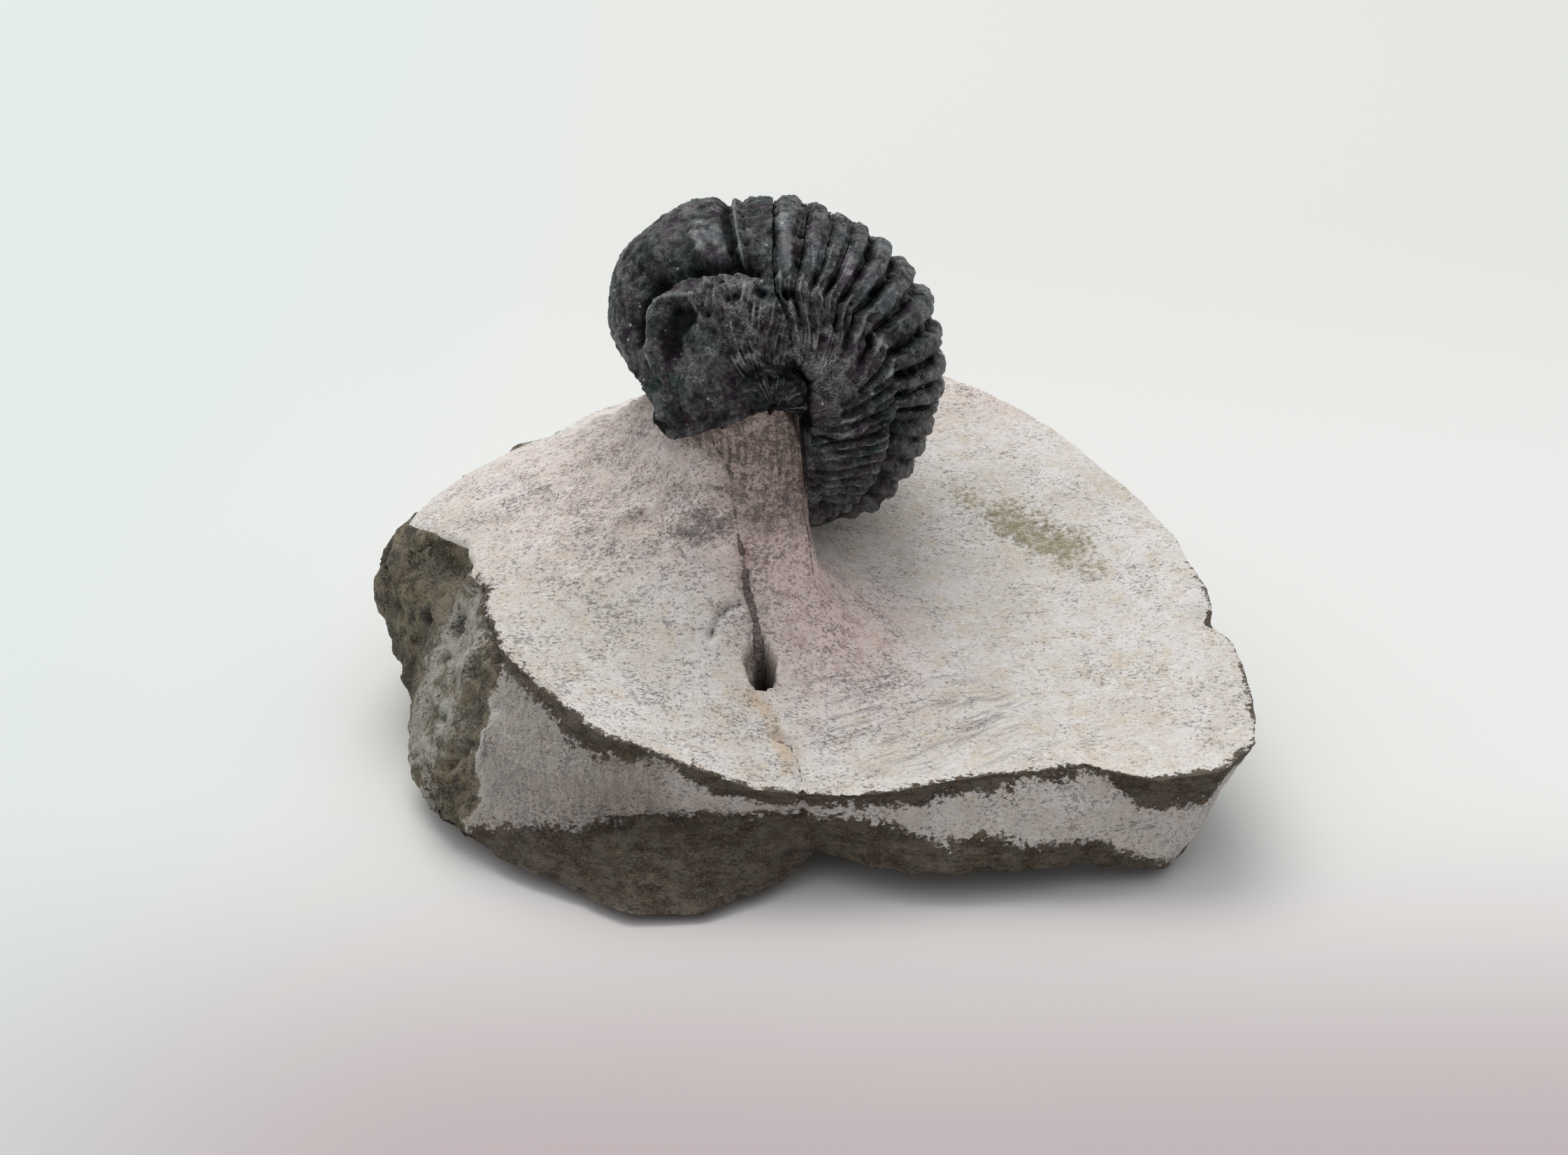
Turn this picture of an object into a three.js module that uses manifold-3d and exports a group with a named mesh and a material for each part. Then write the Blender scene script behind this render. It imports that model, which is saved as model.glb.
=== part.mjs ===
// An enrolled trilobite freed from its limestone, standing on a pedestal of the same block.
// Millimetres, +Z up. The middle of the block's underside is the origin, and the coil opens downwards.

import * as THREE from 'three';
import { mergeVertices } from 'three/addons/utils/BufferGeometryUtils.js';
import Module from 'manifold-3d';

const wasm = await Module();
wasm.setup();
const { degToRad, radToDeg, lerp, smoothstep, clamp } = THREE.MathUtils;

// The coil: its middle, and how far its plane of symmetry leans back from upright.
const COIL_CENTRE = new THREE.Vector3(-0.84, 2.1, 13.27);
const LEAN = degToRad(10);
const FORWARD = new THREE.Vector3(1, 0, 0);
const UPWARD = new THREE.Vector3(0, Math.sin(LEAN), Math.cos(LEAN));
const SIDEWAYS = new THREE.Vector3(0, -Math.cos(LEAN), Math.sin(LEAN));

// Crest radius of the shell by angle round the coil: tail tip, tail, thorax, neck ring, glabella, border.
const CREST = [[-84, 6.0], [-66, 6.2], [-53, 6.4], [-34, 6.15], [-13, 5.95], [23, 5.95], [50, 5.8],
  [70, 5.85], [84, 6.0], [98, 5.85], [116, 6.6], [137, 6.8], [150, 6.65], [164, 6.2], [177, 5.3],
  [180, 4.6], [183, 4.2], [189, 4.15], [196, 4.35], [204, 4.7]];
// Half width of the raised axis by the same angle, in degrees.
const AXIS_HALF = [[-84, 10], [-64, 16], [-47, 24], [-32, 31], [-15, 38], [0, 39], [60, 40], [95, 41],
  [109, 37], [117, 33], [132, 26], [145, 22], [156, 28], [169, 37], [180, 46]];
const SIDE_RADIUS = 5.9;
const FURROW_DEPTH = 0.45;
const SHOULDER = 12;
const BORDER_START = 172;
const BORDER_END = 182;

// Plates.
const PLATE = 0.8;
const INNER_RADIUS = 4.7;
const JOINT_GAP = 0.13;
const ROCK_GAP = 0.25;
const SEGMENTS = 10;
// Edges of the segments from front to back, as angles round the coil: on the axis, and on the flanks.
const EDGES = [[90.5, 90], [78.5, 79.5], [69, 73], [61.5, 65.5], [53, 57], [42.5, 48], [30.5, 33],
  [17.5, 18], [5.5, 8], [-3, -2.5], [-11, -15]];
const FLANK_STARTS = 36;
const FLANK_ENDS = 52;
const RING_HEIGHT = 0.2;
const TAIL_RINGS = 7;
const TAIL_RING_HEIGHT = 0.12;
// The ribs sweep back beyond this angle from the middle, by this much for each degree: first rib and last.
const SWEEP_FROM = [54, 42];
const SWEEP = [1.2, 0.8];
const RIB_TIPS = [75, 75, 75, 75.5, 77, 78, 78, 77.5, 76.5, 75];
const TAIL_TIP = 73.5;
const RIB_ROWS = 20;
const CHEEK_ROWS = [76.3, 78.5, 81, 84, 86.5, 88.8];
// The head's underside falls away to both sides, and turns up again towards the tip of its front corner.
const HEAD_MARGIN = { slope: 0.44, height: -0.13, front: 204, rise: 0.85, riseStart: 3.6, riseEnd: 4.3 };
const TAIL_MARGIN = 1.13;

// The block, by azimuth in degrees about the pedestal's axis: [azimuth, radius, height].
const PEDESTAL = new THREE.Vector2(-1.9, 1.82);
const RIM = [[-176, 12.3, 7.5], [-168, 11.4, 8.0], [-160, 10.4, 8.0], [-145, 10.9, 7.7], [-131, 12.5, 7.0],
  [-117, 13.0, 6.0], [-110, 13.4, 5.5], [-101, 13.1, 4.9], [-88, 13.6, 4.0], [-74, 14.1, 3.8],
  [-63, 14.6, 4.0], [-56, 15.4, 4.2], [-48, 17.0, 4.5], [-44, 19.0, 4.2], [-39, 20.5, 4.4],
  [-34, 20.8, 4.7], [-26, 19.3, 5.3], [-14, 17.0, 6.2], [-3, 15.8, 6.8], [12, 14.2, 7.5], [24, 13.4, 8.0],
  [36, 13.1, 8.3], [52, 12.7, 8.6], [66, 12.1, 8.5], [86, 10.8, 8.0], [104, 11.3, 7.7], [122, 10.9, 7.4],
  [140, 10.0, 7.5], [157, 10.7, 7.5]];
const WAIST = [[-175, 13.6, 4.8], [-166, 12.8, 3.3], [-158, 13.0, 2.0], [-145, 14.1, 1.2],
  [-135, 15.2, 1.0], [-129, 14.8, 1.6], [-115, 14.3, 1.9], [-107, 13.3, 2.3], [-96, 12.8, 2.5],
  [-82, 13.2, 2.9], [-73, 14.0, 2.8], [-64, 15.1, 2.1], [-56, 16.5, 2.2], [-49, 18.0, 2.2],
  [-43, 19.4, 1.1], [-38, 19.6, 1.4], [-30, 18.5, 2.0], [-14, 16.2, 2.5], [12, 13.6, 3.0], [40, 12.7, 3.2],
  [62, 12.4, 3.8], [80, 10.9, 2.8], [101, 11.5, 3.6], [120, 11.6, 2.6], [138, 10.7, 3.4], [160, 12.3, 3.8]];
const FOOT = [[-175, 12.4, 0.8], [-158, 12.6, 0.7], [-145, 13.7, 0.6], [-135, 14.9, 0.5], [-127, 14.7, 0.5],
  [-111, 14.9, 0.3], [-104, 15.4, 0.25], [-95, 14.8, 0.25], [-84, 13.5, 0.3], [-79, 13.3, 1.2],
  [-72, 14.5, 1.0], [-65, 15.4, 0.9], [-50, 17.4, 0.8], [-42, 19.1, 0.3], [-38, 19.1, 0.4],
  [-30, 17.8, 0.5], [-14, 15.5, 0.5], [12, 13.0, 0.5], [40, 12.2, 0.7], [62, 11.6, 0.9], [80, 10.4, 0.5],
  [101, 10.6, 0.6], [120, 10.9, 0.5], [138, 9.8, 0.7], [160, 11.2, 0.6]];
const BASE = [[-175, 11.6], [-158, 12.0], [-135, 14.2], [-111, 14.5], [-104, 15.0], [-95, 14.4],
  [-84, 13.0], [-78, 10.6], [-65, 11.4], [-50, 14.4], [-42, 18.3], [-34, 17.2], [-14, 14.6], [12, 12.2],
  [40, 11.2], [62, 10.4], [80, 9.8], [101, 9.7], [120, 10.2], [138, 8.9], [160, 10.3]];
const PLATEAU = [[-180, 3.3], [-150, 3.9], [-125, 4.7], [-115, 5.0], [-97, 5.3], [-80, 5.35], [-68, 5.3]];
// The top without its pedestal: the height it would have on the axis, and how hollow it is out to the rim.
const CROWN = [[-180, 11.6], [-140, 10.4], [-110, 8.6], [-85, 7.6], [-60, 7.3], [-30, 7.0], [0, 6.9],
  [60, 8.0], [90, 9.2], [120, 10.2], [150, 11.2]];
const HOLLOW = [[-180, 0.7], [-140, 1.1], [-110, 1.4], [-60, 1.4], [0, 1.2], [60, 1.2], [110, 1.2],
  [150, 0.9]];
// The pedestal's foot runs out into the dish over FLARE. Below the tail only FOOT_SHARE of it does so, and
// the rest drops off over TAIL_FLARE.
const FLARE = 1.9;
const TAIL_FLARE = 0.25;
const FOOT_SHARE = 0.42;
const DISH_DEPTH = 0.6;
const FACE_BULGE = 0.7;
const DISH_STEPS = [0.01, 0.07, 0.16, 0.28, 0.42, 0.57, 0.72, 0.86];
const AZIMUTH_STEPS = 80;
const OUTLINE_STEPS = 120;

// The round pit in front of the pedestal, with the middle of its mouth.
const PIT = { mouth: new THREE.Vector3(-1.3, -6.98, 6.1), radius: 0.66, taper: 0.55, depth: 2.4, over: 1.5,
  tilt: degToRad(12), sides: 12 };

const ROCK = new THREE.MeshStandardMaterial({ color: 0xc6c0b8, roughness: 0.95, metalness: 0 });
const SHELL = new THREE.MeshStandardMaterial({ color: 0x2a2b2e, roughness: 0.5, metalness: 0 });

// The value of a keyed curve at x, straight between keys; with a period the keys wrap round.
function keyed(keys, x, column = 1, period = 0) {
  const wrapped = period ? [...keys, [keys[0][0] + period, ...keys[0].slice(1)]] : keys;
  const at = period ? keys[0][0] + THREE.MathUtils.euclideanModulo(x - keys[0][0], period) : x;
  const above = wrapped.findIndex((key) => key[0] > at);
  const next = above < 0 ? wrapped.length - 1 : Math.max(1, above);
  const [low, high] = [wrapped[next - 1], wrapped[next]];
  const share = at >= high[0] ? 1 : clamp((at - low[0]) / (high[0] - low[0]), 0, 1);
  return lerp(low[column], high[column], share);
}

const around = (keys, azimuth, column = 1) => keyed(keys, azimuth, column, 360);

function coilPoint(theta, phi, radius) {
  const t = degToRad(theta);
  const p = degToRad(phi);
  return COIL_CENTRE.clone()
    .addScaledVector(FORWARD, radius * Math.cos(p) * Math.cos(t))
    .addScaledVector(UPWARD, radius * Math.cos(p) * Math.sin(t))
    .addScaledVector(SIDEWAYS, radius * Math.sin(p));
}

// Outer radius of the shell: a raised axis, furrows beside it, rounded flanks and a flat front border.
function shellRadius(theta, phi) {
  const side = Math.abs(phi);
  const half = keyed(AXIS_HALF, theta);
  const crest = keyed(CREST, theta);
  const furrow = Math.min(crest, SIDE_RADIUS) - FURROW_DEPTH;
  const axis = lerp(crest, furrow, Math.min(1, side / half) ** 3);
  const flank = lerp(furrow, SIDE_RADIUS, smoothstep(side, half, half + SHOULDER));
  const border = Math.min(SIDE_RADIUS, crest / Math.cos(degToRad(phi)));
  return lerp(side < half ? axis : flank, border, smoothstep(theta, BORDER_START, BORDER_END));
}

const innerRadius = (theta, phi) => Math.min(INNER_RADIUS, shellRadius(theta, phi) - PLATE);

// Triangles of the strip between two chains of vertex numbers.
function strip(left, right) {
  const faces = [];
  let i = 0;
  let j = 0;
  while (i < left.length - 1 || j < right.length - 1) {
    const leftFirst = j === right.length - 1
      || (i < left.length - 1 && (i + 1) / (left.length - 1) <= (j + 1) / (right.length - 1));
    if (leftFirst) {
      faces.push([left[i], left[i + 1], right[j]]);
      i += 1;
    } else {
      faces.push([left[i], right[j + 1], right[j]]);
      j += 1;
    }
  }
  return faces;
}

function solidFrom(points, faces) {
  const geometry = new THREE.BufferGeometry();
  geometry.setAttribute('position', new THREE.Float32BufferAttribute(points.flatMap((p) => p.toArray()), 3));
  const volume = faces.reduce((sum, [a, b, c]) => sum + points[a].dot(points[b].clone().cross(points[c])), 0);
  geometry.setIndex(volume > 0 ? faces.flat() : faces.flatMap(([a, b, c]) => [a, c, b]));
  return geometry;
}

// A closed solid lofted through rows, each an outer chain followed by an inner chain back to its start.
function loft(outerRows, innerRows) {
  const rows = outerRows.map((outer, k) => [...outer, ...innerRows[k]]);
  const count = rows[0].length;
  const faces = [];
  for (let k = 0; k < rows.length - 1; k += 1) {
    for (let i = 0; i < count; i += 1) {
      const a = k * count + i;
      const b = k * count + ((i + 1) % count);
      faces.push([a, b, b + count], [a, b + count, a + count]);
    }
  }
  const outerCount = outerRows[0].length;
  const cap = (row) => {
    const ring = rows[row].map((_, i) => row * count + i);
    return strip(ring.slice(0, outerCount), ring.slice(outerCount).reverse());
  };
  faces.push(...cap(0).map(([a, b, c]) => [a, c, b]), ...cap(rows.length - 1));
  return solidFrom(rows.flat(), faces);
}

// A plate of the shell between two edges given as angles by phi.
function plate({ phis, start, end, outerSteps, innerSteps, relief = () => 0 }) {
  const outerRows = [];
  const innerRows = [];
  phis.forEach((phi) => {
    const [from, to] = [start(phi), end(phi)];
    const chain = (steps, radius) => Array.from({ length: steps + 1 }, (_, i) => {
      const theta = lerp(from, to, i / steps);
      return coilPoint(theta, phi, radius(theta, i / steps));
    });
    outerRows.push(chain(outerSteps, (theta, t) => shellRadius(theta, phi) + relief(phi, t)));
    innerRows.push(chain(innerSteps, (theta) => innerRadius(theta, phi)).reverse());
  });
  return loft(outerRows, innerRows);
}

const rowsTo = (tip) => Array.from({ length: RIB_ROWS + 1 }, (_, k) => lerp(-tip, tip, k / RIB_ROWS));

// The line between one segment and the next, counted from the head.
function plateEdge(index, phi) {
  const side = Math.abs(phi);
  const share = index / SEGMENTS;
  const sweep = lerp(...SWEEP, share) * Math.max(0, side - lerp(...SWEEP_FROM, share));
  return lerp(...EDGES[index], smoothstep(side, FLANK_STARTS, FLANK_ENDS)) - sweep;
}

const flatten = (phi) => 1 - Math.abs(phi) / 90;
const halfGap = (phi) => radToDeg(JOINT_GAP / 2 / (SIDE_RADIUS * Math.cos(degToRad(phi))));

function thoracicSegment(index) {
  return plate({
    phis: rowsTo(RIB_TIPS[index]),
    start: (phi) => plateEdge(index, phi) - halfGap(phi),
    end: (phi) => plateEdge(index + 1, phi) + halfGap(phi),
    outerSteps: 3,
    innerSteps: 1,
    relief: (phi, t) => RING_HEIGHT * Math.sin(Math.PI * t) * flatten(phi),
  });
}

// Angle round the coil, up from the horizontal, at which a flank meets an upright margin.
const angleAtMargin = (margin, phi) => radToDeg(Math.acos(margin / (SIDE_RADIUS * Math.cos(degToRad(phi)))));

const underside = (along) => -HEAD_MARGIN.slope * Math.abs(along)
  + HEAD_MARGIN.rise * smoothstep(-along, HEAD_MARGIN.riseStart, HEAD_MARGIN.riseEnd);

// Angle at which the head's front ends on its underside.
function headFront(phi) {
  let [low, high] = [184, HEAD_MARGIN.front];
  for (let k = 0; k < 20; k += 1) {
    const theta = (low + high) / 2;
    const reach = shellRadius(theta, phi) * Math.cos(degToRad(phi));
    const above = reach * Math.sin(degToRad(theta)) > underside(reach * Math.cos(degToRad(theta)));
    if (above) low = theta;
    else high = theta;
  }
  return low;
}

// The head runs from the thorax over the glabella to the border under the chin, and over both cheeks.
function headRear(phi) {
  const margin = TAIL_MARGIN - JOINT_GAP;
  if (Math.abs(phi) <= CHEEK_ROWS[0]) return plateEdge(0, phi) + halfGap(phi);
  if (SIDE_RADIUS * Math.cos(degToRad(phi)) > margin) return angleAtMargin(margin, phi);
  return 180 - HEAD_MARGIN.front;
}

function cephalon() {
  return plate({
    phis: [...CHEEK_ROWS.map((phi) => -phi).reverse(), ...rowsTo(RIB_TIPS[0]), ...CHEEK_ROWS],
    start: headRear,
    end: headFront,
    outerSteps: 22,
    innerSteps: 10,
  });
}

// The tail plate ends on the flat margin that faces the chin.
function pygidium() {
  return plate({
    phis: rowsTo(TAIL_TIP),
    start: (phi) => plateEdge(SEGMENTS, phi) - halfGap(phi),
    end: (phi) => -angleAtMargin(TAIL_MARGIN, phi),
    outerSteps: 14,
    innerSteps: 3,
    relief: (phi, t) => TAIL_RING_HEIGHT * Math.sin(Math.PI * TAIL_RINGS * t) ** 2 * (1 - t) * flatten(phi),
  });
}

// A closed solid that every ray from the coil's middle leaves once.
function starSolid(radius, rows = 15, columns = 26) {
  const points = [coilPoint(0, -90, radius(0, -90))];
  for (let k = 1; k < rows; k += 1) {
    const phi = lerp(-90, 90, k / rows);
    for (let i = 0; i < columns; i += 1) {
      const theta = -110 + (360 * i) / columns;
      points.push(coilPoint(theta, phi, radius(theta, phi)));
    }
  }
  points.push(coilPoint(0, 90, radius(0, 90)));
  return solidFrom(points, gridFaces(rows - 1, columns, points.length - 1));
}

// Faces of closed rings stacked between a first and a last point.
function gridFaces(rings, columns, last) {
  const faces = [];
  for (let i = 0; i < columns; i += 1) {
    const j = (i + 1) % columns;
    faces.push([0, 1 + j, 1 + i]);
    for (let k = 0; k < rings - 1; k += 1) {
      const low = 1 + k * columns;
      const high = low + columns;
      faces.push([low + i, low + j, high + j], [low + i, high + j, high + i]);
    }
    const top = 1 + (rings - 1) * columns;
    faces.push([last, top + i, top + j]);
  }
  return faces;
}

// Height of the rock where it meets the underside of the head, over a point of the plan.
function underHead(x, y) {
  const along = HEAD_MARGIN.height - ROCK_GAP + underside(x - COIL_CENTRE.x);
  const across = (along * Math.sin(LEAN) - (y - COIL_CENTRE.y)) / Math.cos(LEAN);
  return COIL_CENTRE.z + along * Math.cos(LEAN) + across * Math.sin(LEAN);
}

const TAIL_SIDE = COIL_CENTRE.x + TAIL_MARGIN - ROCK_GAP - PEDESTAL.x;
const TAIL_TURN = 68;

function plateauRadius(azimuth) {
  const side = -Math.abs(azimuth);
  return side > -TAIL_TURN ? TAIL_SIDE / Math.cos(degToRad(side)) : keyed(PLATEAU, side);
}

// Height of the rock where it meets the edge of the tail plate.
function underTail(y) {
  const across = (COIL_CENTRE.y - y) / Math.cos(LEAN);
  const down = Math.sqrt(Math.max(0, SIDE_RADIUS ** 2 - TAIL_MARGIN ** 2 - across ** 2));
  return COIL_CENTRE.z - down * Math.cos(LEAN) + across * Math.sin(LEAN) - ROCK_GAP;
}

const planPoint = (azimuth, radius) => new THREE.Vector2(radius, 0)
  .rotateAround(new THREE.Vector2(), degToRad(azimuth))
  .add(PEDESTAL);

// The pedestal's outline in plan, with the height of the rock all round it, eased at the two corners.
const outline = Array.from({ length: OUTLINE_STEPS }, (_, i) => {
  const azimuth = -180 + (360 * i) / OUTLINE_STEPS;
  const spot = planPoint(azimuth, plateauRadius(azimuth));
  return { spot, height: Math.abs(azimuth) < TAIL_TURN ? underTail(spot.y) : underHead(spot.x, spot.y) };
});
const eased = outline.map((_, i) => {
  const near = [-2, -1, 0, 1, 2].map((k) => outline.at((i + k) % OUTLINE_STEPS).height);
  return near.reduce((sum, height) => sum + height, 0) / near.length;
});

// The rock's top at a plan point: the dish, and the foot of the pedestal flaring out of it.
function topHeight(azimuth, radius) {
  const rim = around(RIM, azimuth, 2);
  const out = Math.min(1, radius / around(RIM, azimuth));
  const sag = DISH_DEPTH * Math.sin(Math.PI * out) * Math.max(0, Math.cos(degToRad(azimuth)));
  const dish = lerp(rim, around(CROWN, azimuth), (1 - out) ** around(HOLLOW, azimuth)) - sag;
  const spot = planPoint(azimuth, radius);
  let nearest = Infinity;
  let height = 0;
  let share = 1;
  outline.forEach(({ spot: from }, i) => {
    const next = (i + 1) % OUTLINE_STEPS;
    const span = outline[next].spot.clone().sub(from);
    const along = clamp(spot.clone().sub(from).dot(span) / span.lengthSq(), 0, 1);
    const way = spot.clone().sub(from).addScaledVector(span, -along);
    if (way.length() < nearest) {
      nearest = way.length();
      height = lerp(eased[i], eased[next], along);
      share = lerp(FOOT_SHARE, 1, smoothstep(Math.abs(radToDeg(Math.atan2(way.y, way.x))), 20, 80));
    }
  });
  const foot = share * Math.exp(-nearest / FLARE) + (1 - share) * Math.exp(-nearest / TAIL_FLARE);
  return dish + Math.max(0, height - dish) * foot;
}

// One profile of the block, from the pedestal's top over the dish and the rim to the flat underside.
function profile(azimuth) {
  const at = (radius, height) => {
    const spot = planPoint(azimuth, radius);
    return new THREE.Vector3(spot.x, spot.y, height);
  };
  const edge = plateauRadius(azimuth);
  const edgeSpot = planPoint(azimuth, edge);
  const rim = [around(RIM, azimuth), around(RIM, azimuth, 2)];
  const waist = [around(WAIST, azimuth), around(WAIST, azimuth, 2)];
  const dish = DISH_STEPS.map((step) => {
    const radius = lerp(edge, rim[0], step);
    return at(radius, topHeight(azimuth, radius));
  });
  const bulge = FACE_BULGE * Math.max(0, -Math.cos(degToRad(azimuth)));
  return [
    at(edge, underHead(edgeSpot.x, edgeSpot.y)),
    ...dish,
    at(...rim),
    at((rim[0] + waist[0]) / 2 + bulge, (rim[1] + waist[1]) / 2),
    at(...waist),
    at(around(FOOT, azimuth), around(FOOT, azimuth, 2)),
    at(around(BASE, azimuth), 0),
  ];
}

function blockGeometry() {
  const profiles = Array.from({ length: AZIMUTH_STEPS }, (_, i) => profile(-180 + (360 * i) / AZIMUTH_STEPS));
  const points = [new THREE.Vector3(PEDESTAL.x, PEDESTAL.y, underHead(PEDESTAL.x, PEDESTAL.y))];
  profiles[0].forEach((_, k) => profiles.forEach((one) => points.push(one[k])));
  points.push(new THREE.Vector3(PEDESTAL.x, PEDESTAL.y, 0));
  return solidFrom(points, gridFaces(profiles[0].length, AZIMUTH_STEPS, points.length - 1));
}

// The opening between chin and tail, through which the rock inside the coil joins the pedestal.
function openingGeometry() {
  const reach = 9;
  const tail = TAIL_MARGIN - ROCK_GAP;
  const top = HEAD_MARGIN.height - ROCK_GAP;
  const stops = [-reach, -HEAD_MARGIN.riseEnd, -HEAD_MARGIN.riseStart, 0, tail];
  const place = (side) => ([a, b]) => COIL_CENTRE.clone().addScaledVector(FORWARD, a)
    .addScaledVector(UPWARD, b).addScaledVector(SIDEWAYS, side);
  const upper = (side) => stops.map((a) => [a, top + underside(a)]).map(place(side));
  const lower = (side) => [[tail, -reach], [0, -reach], [-reach, -reach]].map(place(side));
  return loft([upper(-reach), upper(reach)], [lower(-reach), lower(reach)]);
}

function pitGeometry() {
  const height = PIT.depth + PIT.over;
  return new THREE.CylinderGeometry(PIT.radius, PIT.radius * PIT.taper, height, PIT.sides)
    .rotateX(Math.PI / 2 + PIT.tilt)
    .translate(PIT.mouth.x, PIT.mouth.y, PIT.mouth.z + (PIT.over - PIT.depth) / 2);
}

function toManifold(geometry) {
  const bare = geometry.clone();
  bare.deleteAttribute('normal');
  bare.deleteAttribute('uv');
  const merged = mergeVertices(bare, 1e-5);
  return new wasm.Manifold(new wasm.Mesh({
    numProp: 3,
    vertProperties: new Float32Array(merged.attributes.position.array),
    triVerts: new Uint32Array(merged.index.array),
  }));
}

function fromManifold(solid) {
  const { vertProperties, triVerts } = solid.getMesh();
  const geometry = new THREE.BufferGeometry();
  geometry.setAttribute('position', new THREE.BufferAttribute(vertProperties, 3));
  geometry.setIndex(new THREE.BufferAttribute(triVerts, 1));
  return geometry;
}

function matrix() {
  const core = toManifold(starSolid((theta, phi) => innerRadius(theta, phi) - ROCK_GAP));
  const shellRoom = toManifold(starSolid((theta, phi) => shellRadius(theta, phi) + ROCK_GAP))
    .subtract(core)
    .subtract(toManifold(openingGeometry()));
  const rock = toManifold(blockGeometry()).add(core);
  return fromManifold(rock.subtract(shellRoom).subtract(toManifold(pitGeometry())));
}

const part = new THREE.Group();

function addPiece(name, geometry, material) {
  const mesh = new THREE.Mesh(geometry, material);
  mesh.name = name;
  part.add(mesh);
}

addPiece('matrix', matrix(), ROCK);
addPiece('cephalon', cephalon(), SHELL);
for (let index = 0; index < SEGMENTS; index += 1) {
  addPiece(`thoracic_segment_${String(index + 1).padStart(2, '0')}`, thoracicSegment(index), SHELL);
}
addPiece('pygidium', pygidium(), SHELL);

export default part;
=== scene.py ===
# An enrolled trilobite freed from its limestone: the detailed looks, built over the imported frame.
# The scene is in metres. The shape functions work in millimetres, in the same frame, and end in new_piece().

import itertools
import math

import bpy
import numpy as np
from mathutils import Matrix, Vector


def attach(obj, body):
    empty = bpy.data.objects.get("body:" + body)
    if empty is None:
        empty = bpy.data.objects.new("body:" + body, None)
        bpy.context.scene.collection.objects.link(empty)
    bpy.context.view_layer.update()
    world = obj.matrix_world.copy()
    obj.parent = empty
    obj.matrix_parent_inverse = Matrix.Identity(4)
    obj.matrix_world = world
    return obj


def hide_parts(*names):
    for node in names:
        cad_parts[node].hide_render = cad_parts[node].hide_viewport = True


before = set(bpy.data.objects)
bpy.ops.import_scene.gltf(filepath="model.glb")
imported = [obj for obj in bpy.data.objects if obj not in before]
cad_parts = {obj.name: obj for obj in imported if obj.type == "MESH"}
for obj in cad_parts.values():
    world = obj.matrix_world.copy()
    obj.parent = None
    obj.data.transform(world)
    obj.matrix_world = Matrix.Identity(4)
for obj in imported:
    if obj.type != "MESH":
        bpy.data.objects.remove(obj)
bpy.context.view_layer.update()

MM = 0.001
# Large odd numbers that scatter a cell's place into the noise.
MIXERS = np.array([374761393, 668265263, 2246822519], np.uint32)

# Camera.
LENS = 60
SENSOR = 36
VIEW_ELEVATION = math.radians(28)
VIEW_DISTANCE = 96
VIEW_TARGET = np.array([-0.51, 0.22, 5.65])

# The sky is brightest towards SKY_DIRECTION. Its range: from, to, brightest, dimmest.
SKY_DIRECTION = (-0.1, 0.3, 0.95)
SKY_RANGE = (-0.3, 1.0, 0.92, 0.16)
SKY_COLOUR = (0.98, 0.99, 1.0)

# The lamp and the board, in metres and watts.
LAMP_PLACE = (-0.05, 0.12, 0.315)
LAMP_AIM = (0, 0, 0.005)
LAMP_SIZE = 0.26
LAMP_POWER = 0.52
LAMP_COLOUR = (1.0, 0.985, 0.96)
BOARD_SIZE = 2.4

# The coil: its middle, and its axes, which lean back from upright.
COIL_CENTRE = np.array([-0.84, 2.1, 13.27])
LEAN = math.radians(10)
FORWARD = np.array([1.0, 0.0, 0.0])
UPWARD = np.array([0.0, math.sin(LEAN), math.cos(LEAN)])
SIDEWAYS = np.array([0.0, -math.cos(LEAN), math.sin(LEAN)])

# Crest radius of the shell, and half width of its raised axis in degrees, by angle round the coil.
CREST = [(-84, 6.0), (-66, 6.2), (-53, 6.4), (-34, 6.15), (-13, 5.95), (23, 5.95), (50, 5.8), (70, 5.85),
         (84, 6.0), (98, 5.85), (116, 6.6), (137, 6.8), (150, 6.65), (164, 6.2), (177, 5.3), (180, 4.6),
         (183, 4.2), (189, 4.15), (196, 4.35), (204, 4.7)]
AXIS_HALF = [(-84, 10), (-64, 16), (-47, 24), (-32, 31), (-15, 38), (0, 39), (60, 40), (95, 41), (109, 37),
             (117, 33), (132, 26), (145, 22), (156, 28), (169, 37), (180, 46)]
SIDE_RADIUS = 5.9
# Millimetres along the flank for one degree.
ARC = math.radians(SIDE_RADIUS)
FURROW_DEPTH = 0.45
SHOULDER = 12
BORDER_START = 172
BORDER_END = 182
PLATE = 0.8
INNER_RADIUS = 4.7
SEGMENTS = 10
# Edges of the segments from front to back, as angles round the coil: on the axis, and on the flanks.
EDGES = [(90.5, 90), (78.5, 79.5), (69, 73), (61.5, 65.5), (53, 57), (42.5, 48), (30.5, 33), (17.5, 18),
         (5.5, 8), (-3, -2.5), (-11, -15)]
FLANK_STARTS = 36
FLANK_ENDS = 52
SWEEP_FROM = (54, 42)
SWEEP = (1.2, 0.8)
RIB_TIPS = (75, 75, 75, 75.5, 77, 78, 78, 77.5, 76.5, 75)
TAIL_TIP = 74
POLE = 88.8
HEAD_FRONT = 204
HEAD_SLOPE = 0.44
# The head's underside turns up again towards the tip of its front corner.
HEAD_RISE = 0.85
RISE_START = 3.6
RISE_END = 4.3
TAIL_MARGIN = 1.13
# Bars worn smooth on the rings of the thorax, each from one place to another.
WORN_BARS = [[(87, 17), (85, 38)], [(75.5, 22), (72, 34)], [(63, 17), (57, 38)], [(50, 26), (45, 37)],
             [(39, 27), (34, 37)]]
SEAM = 0.02

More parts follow.
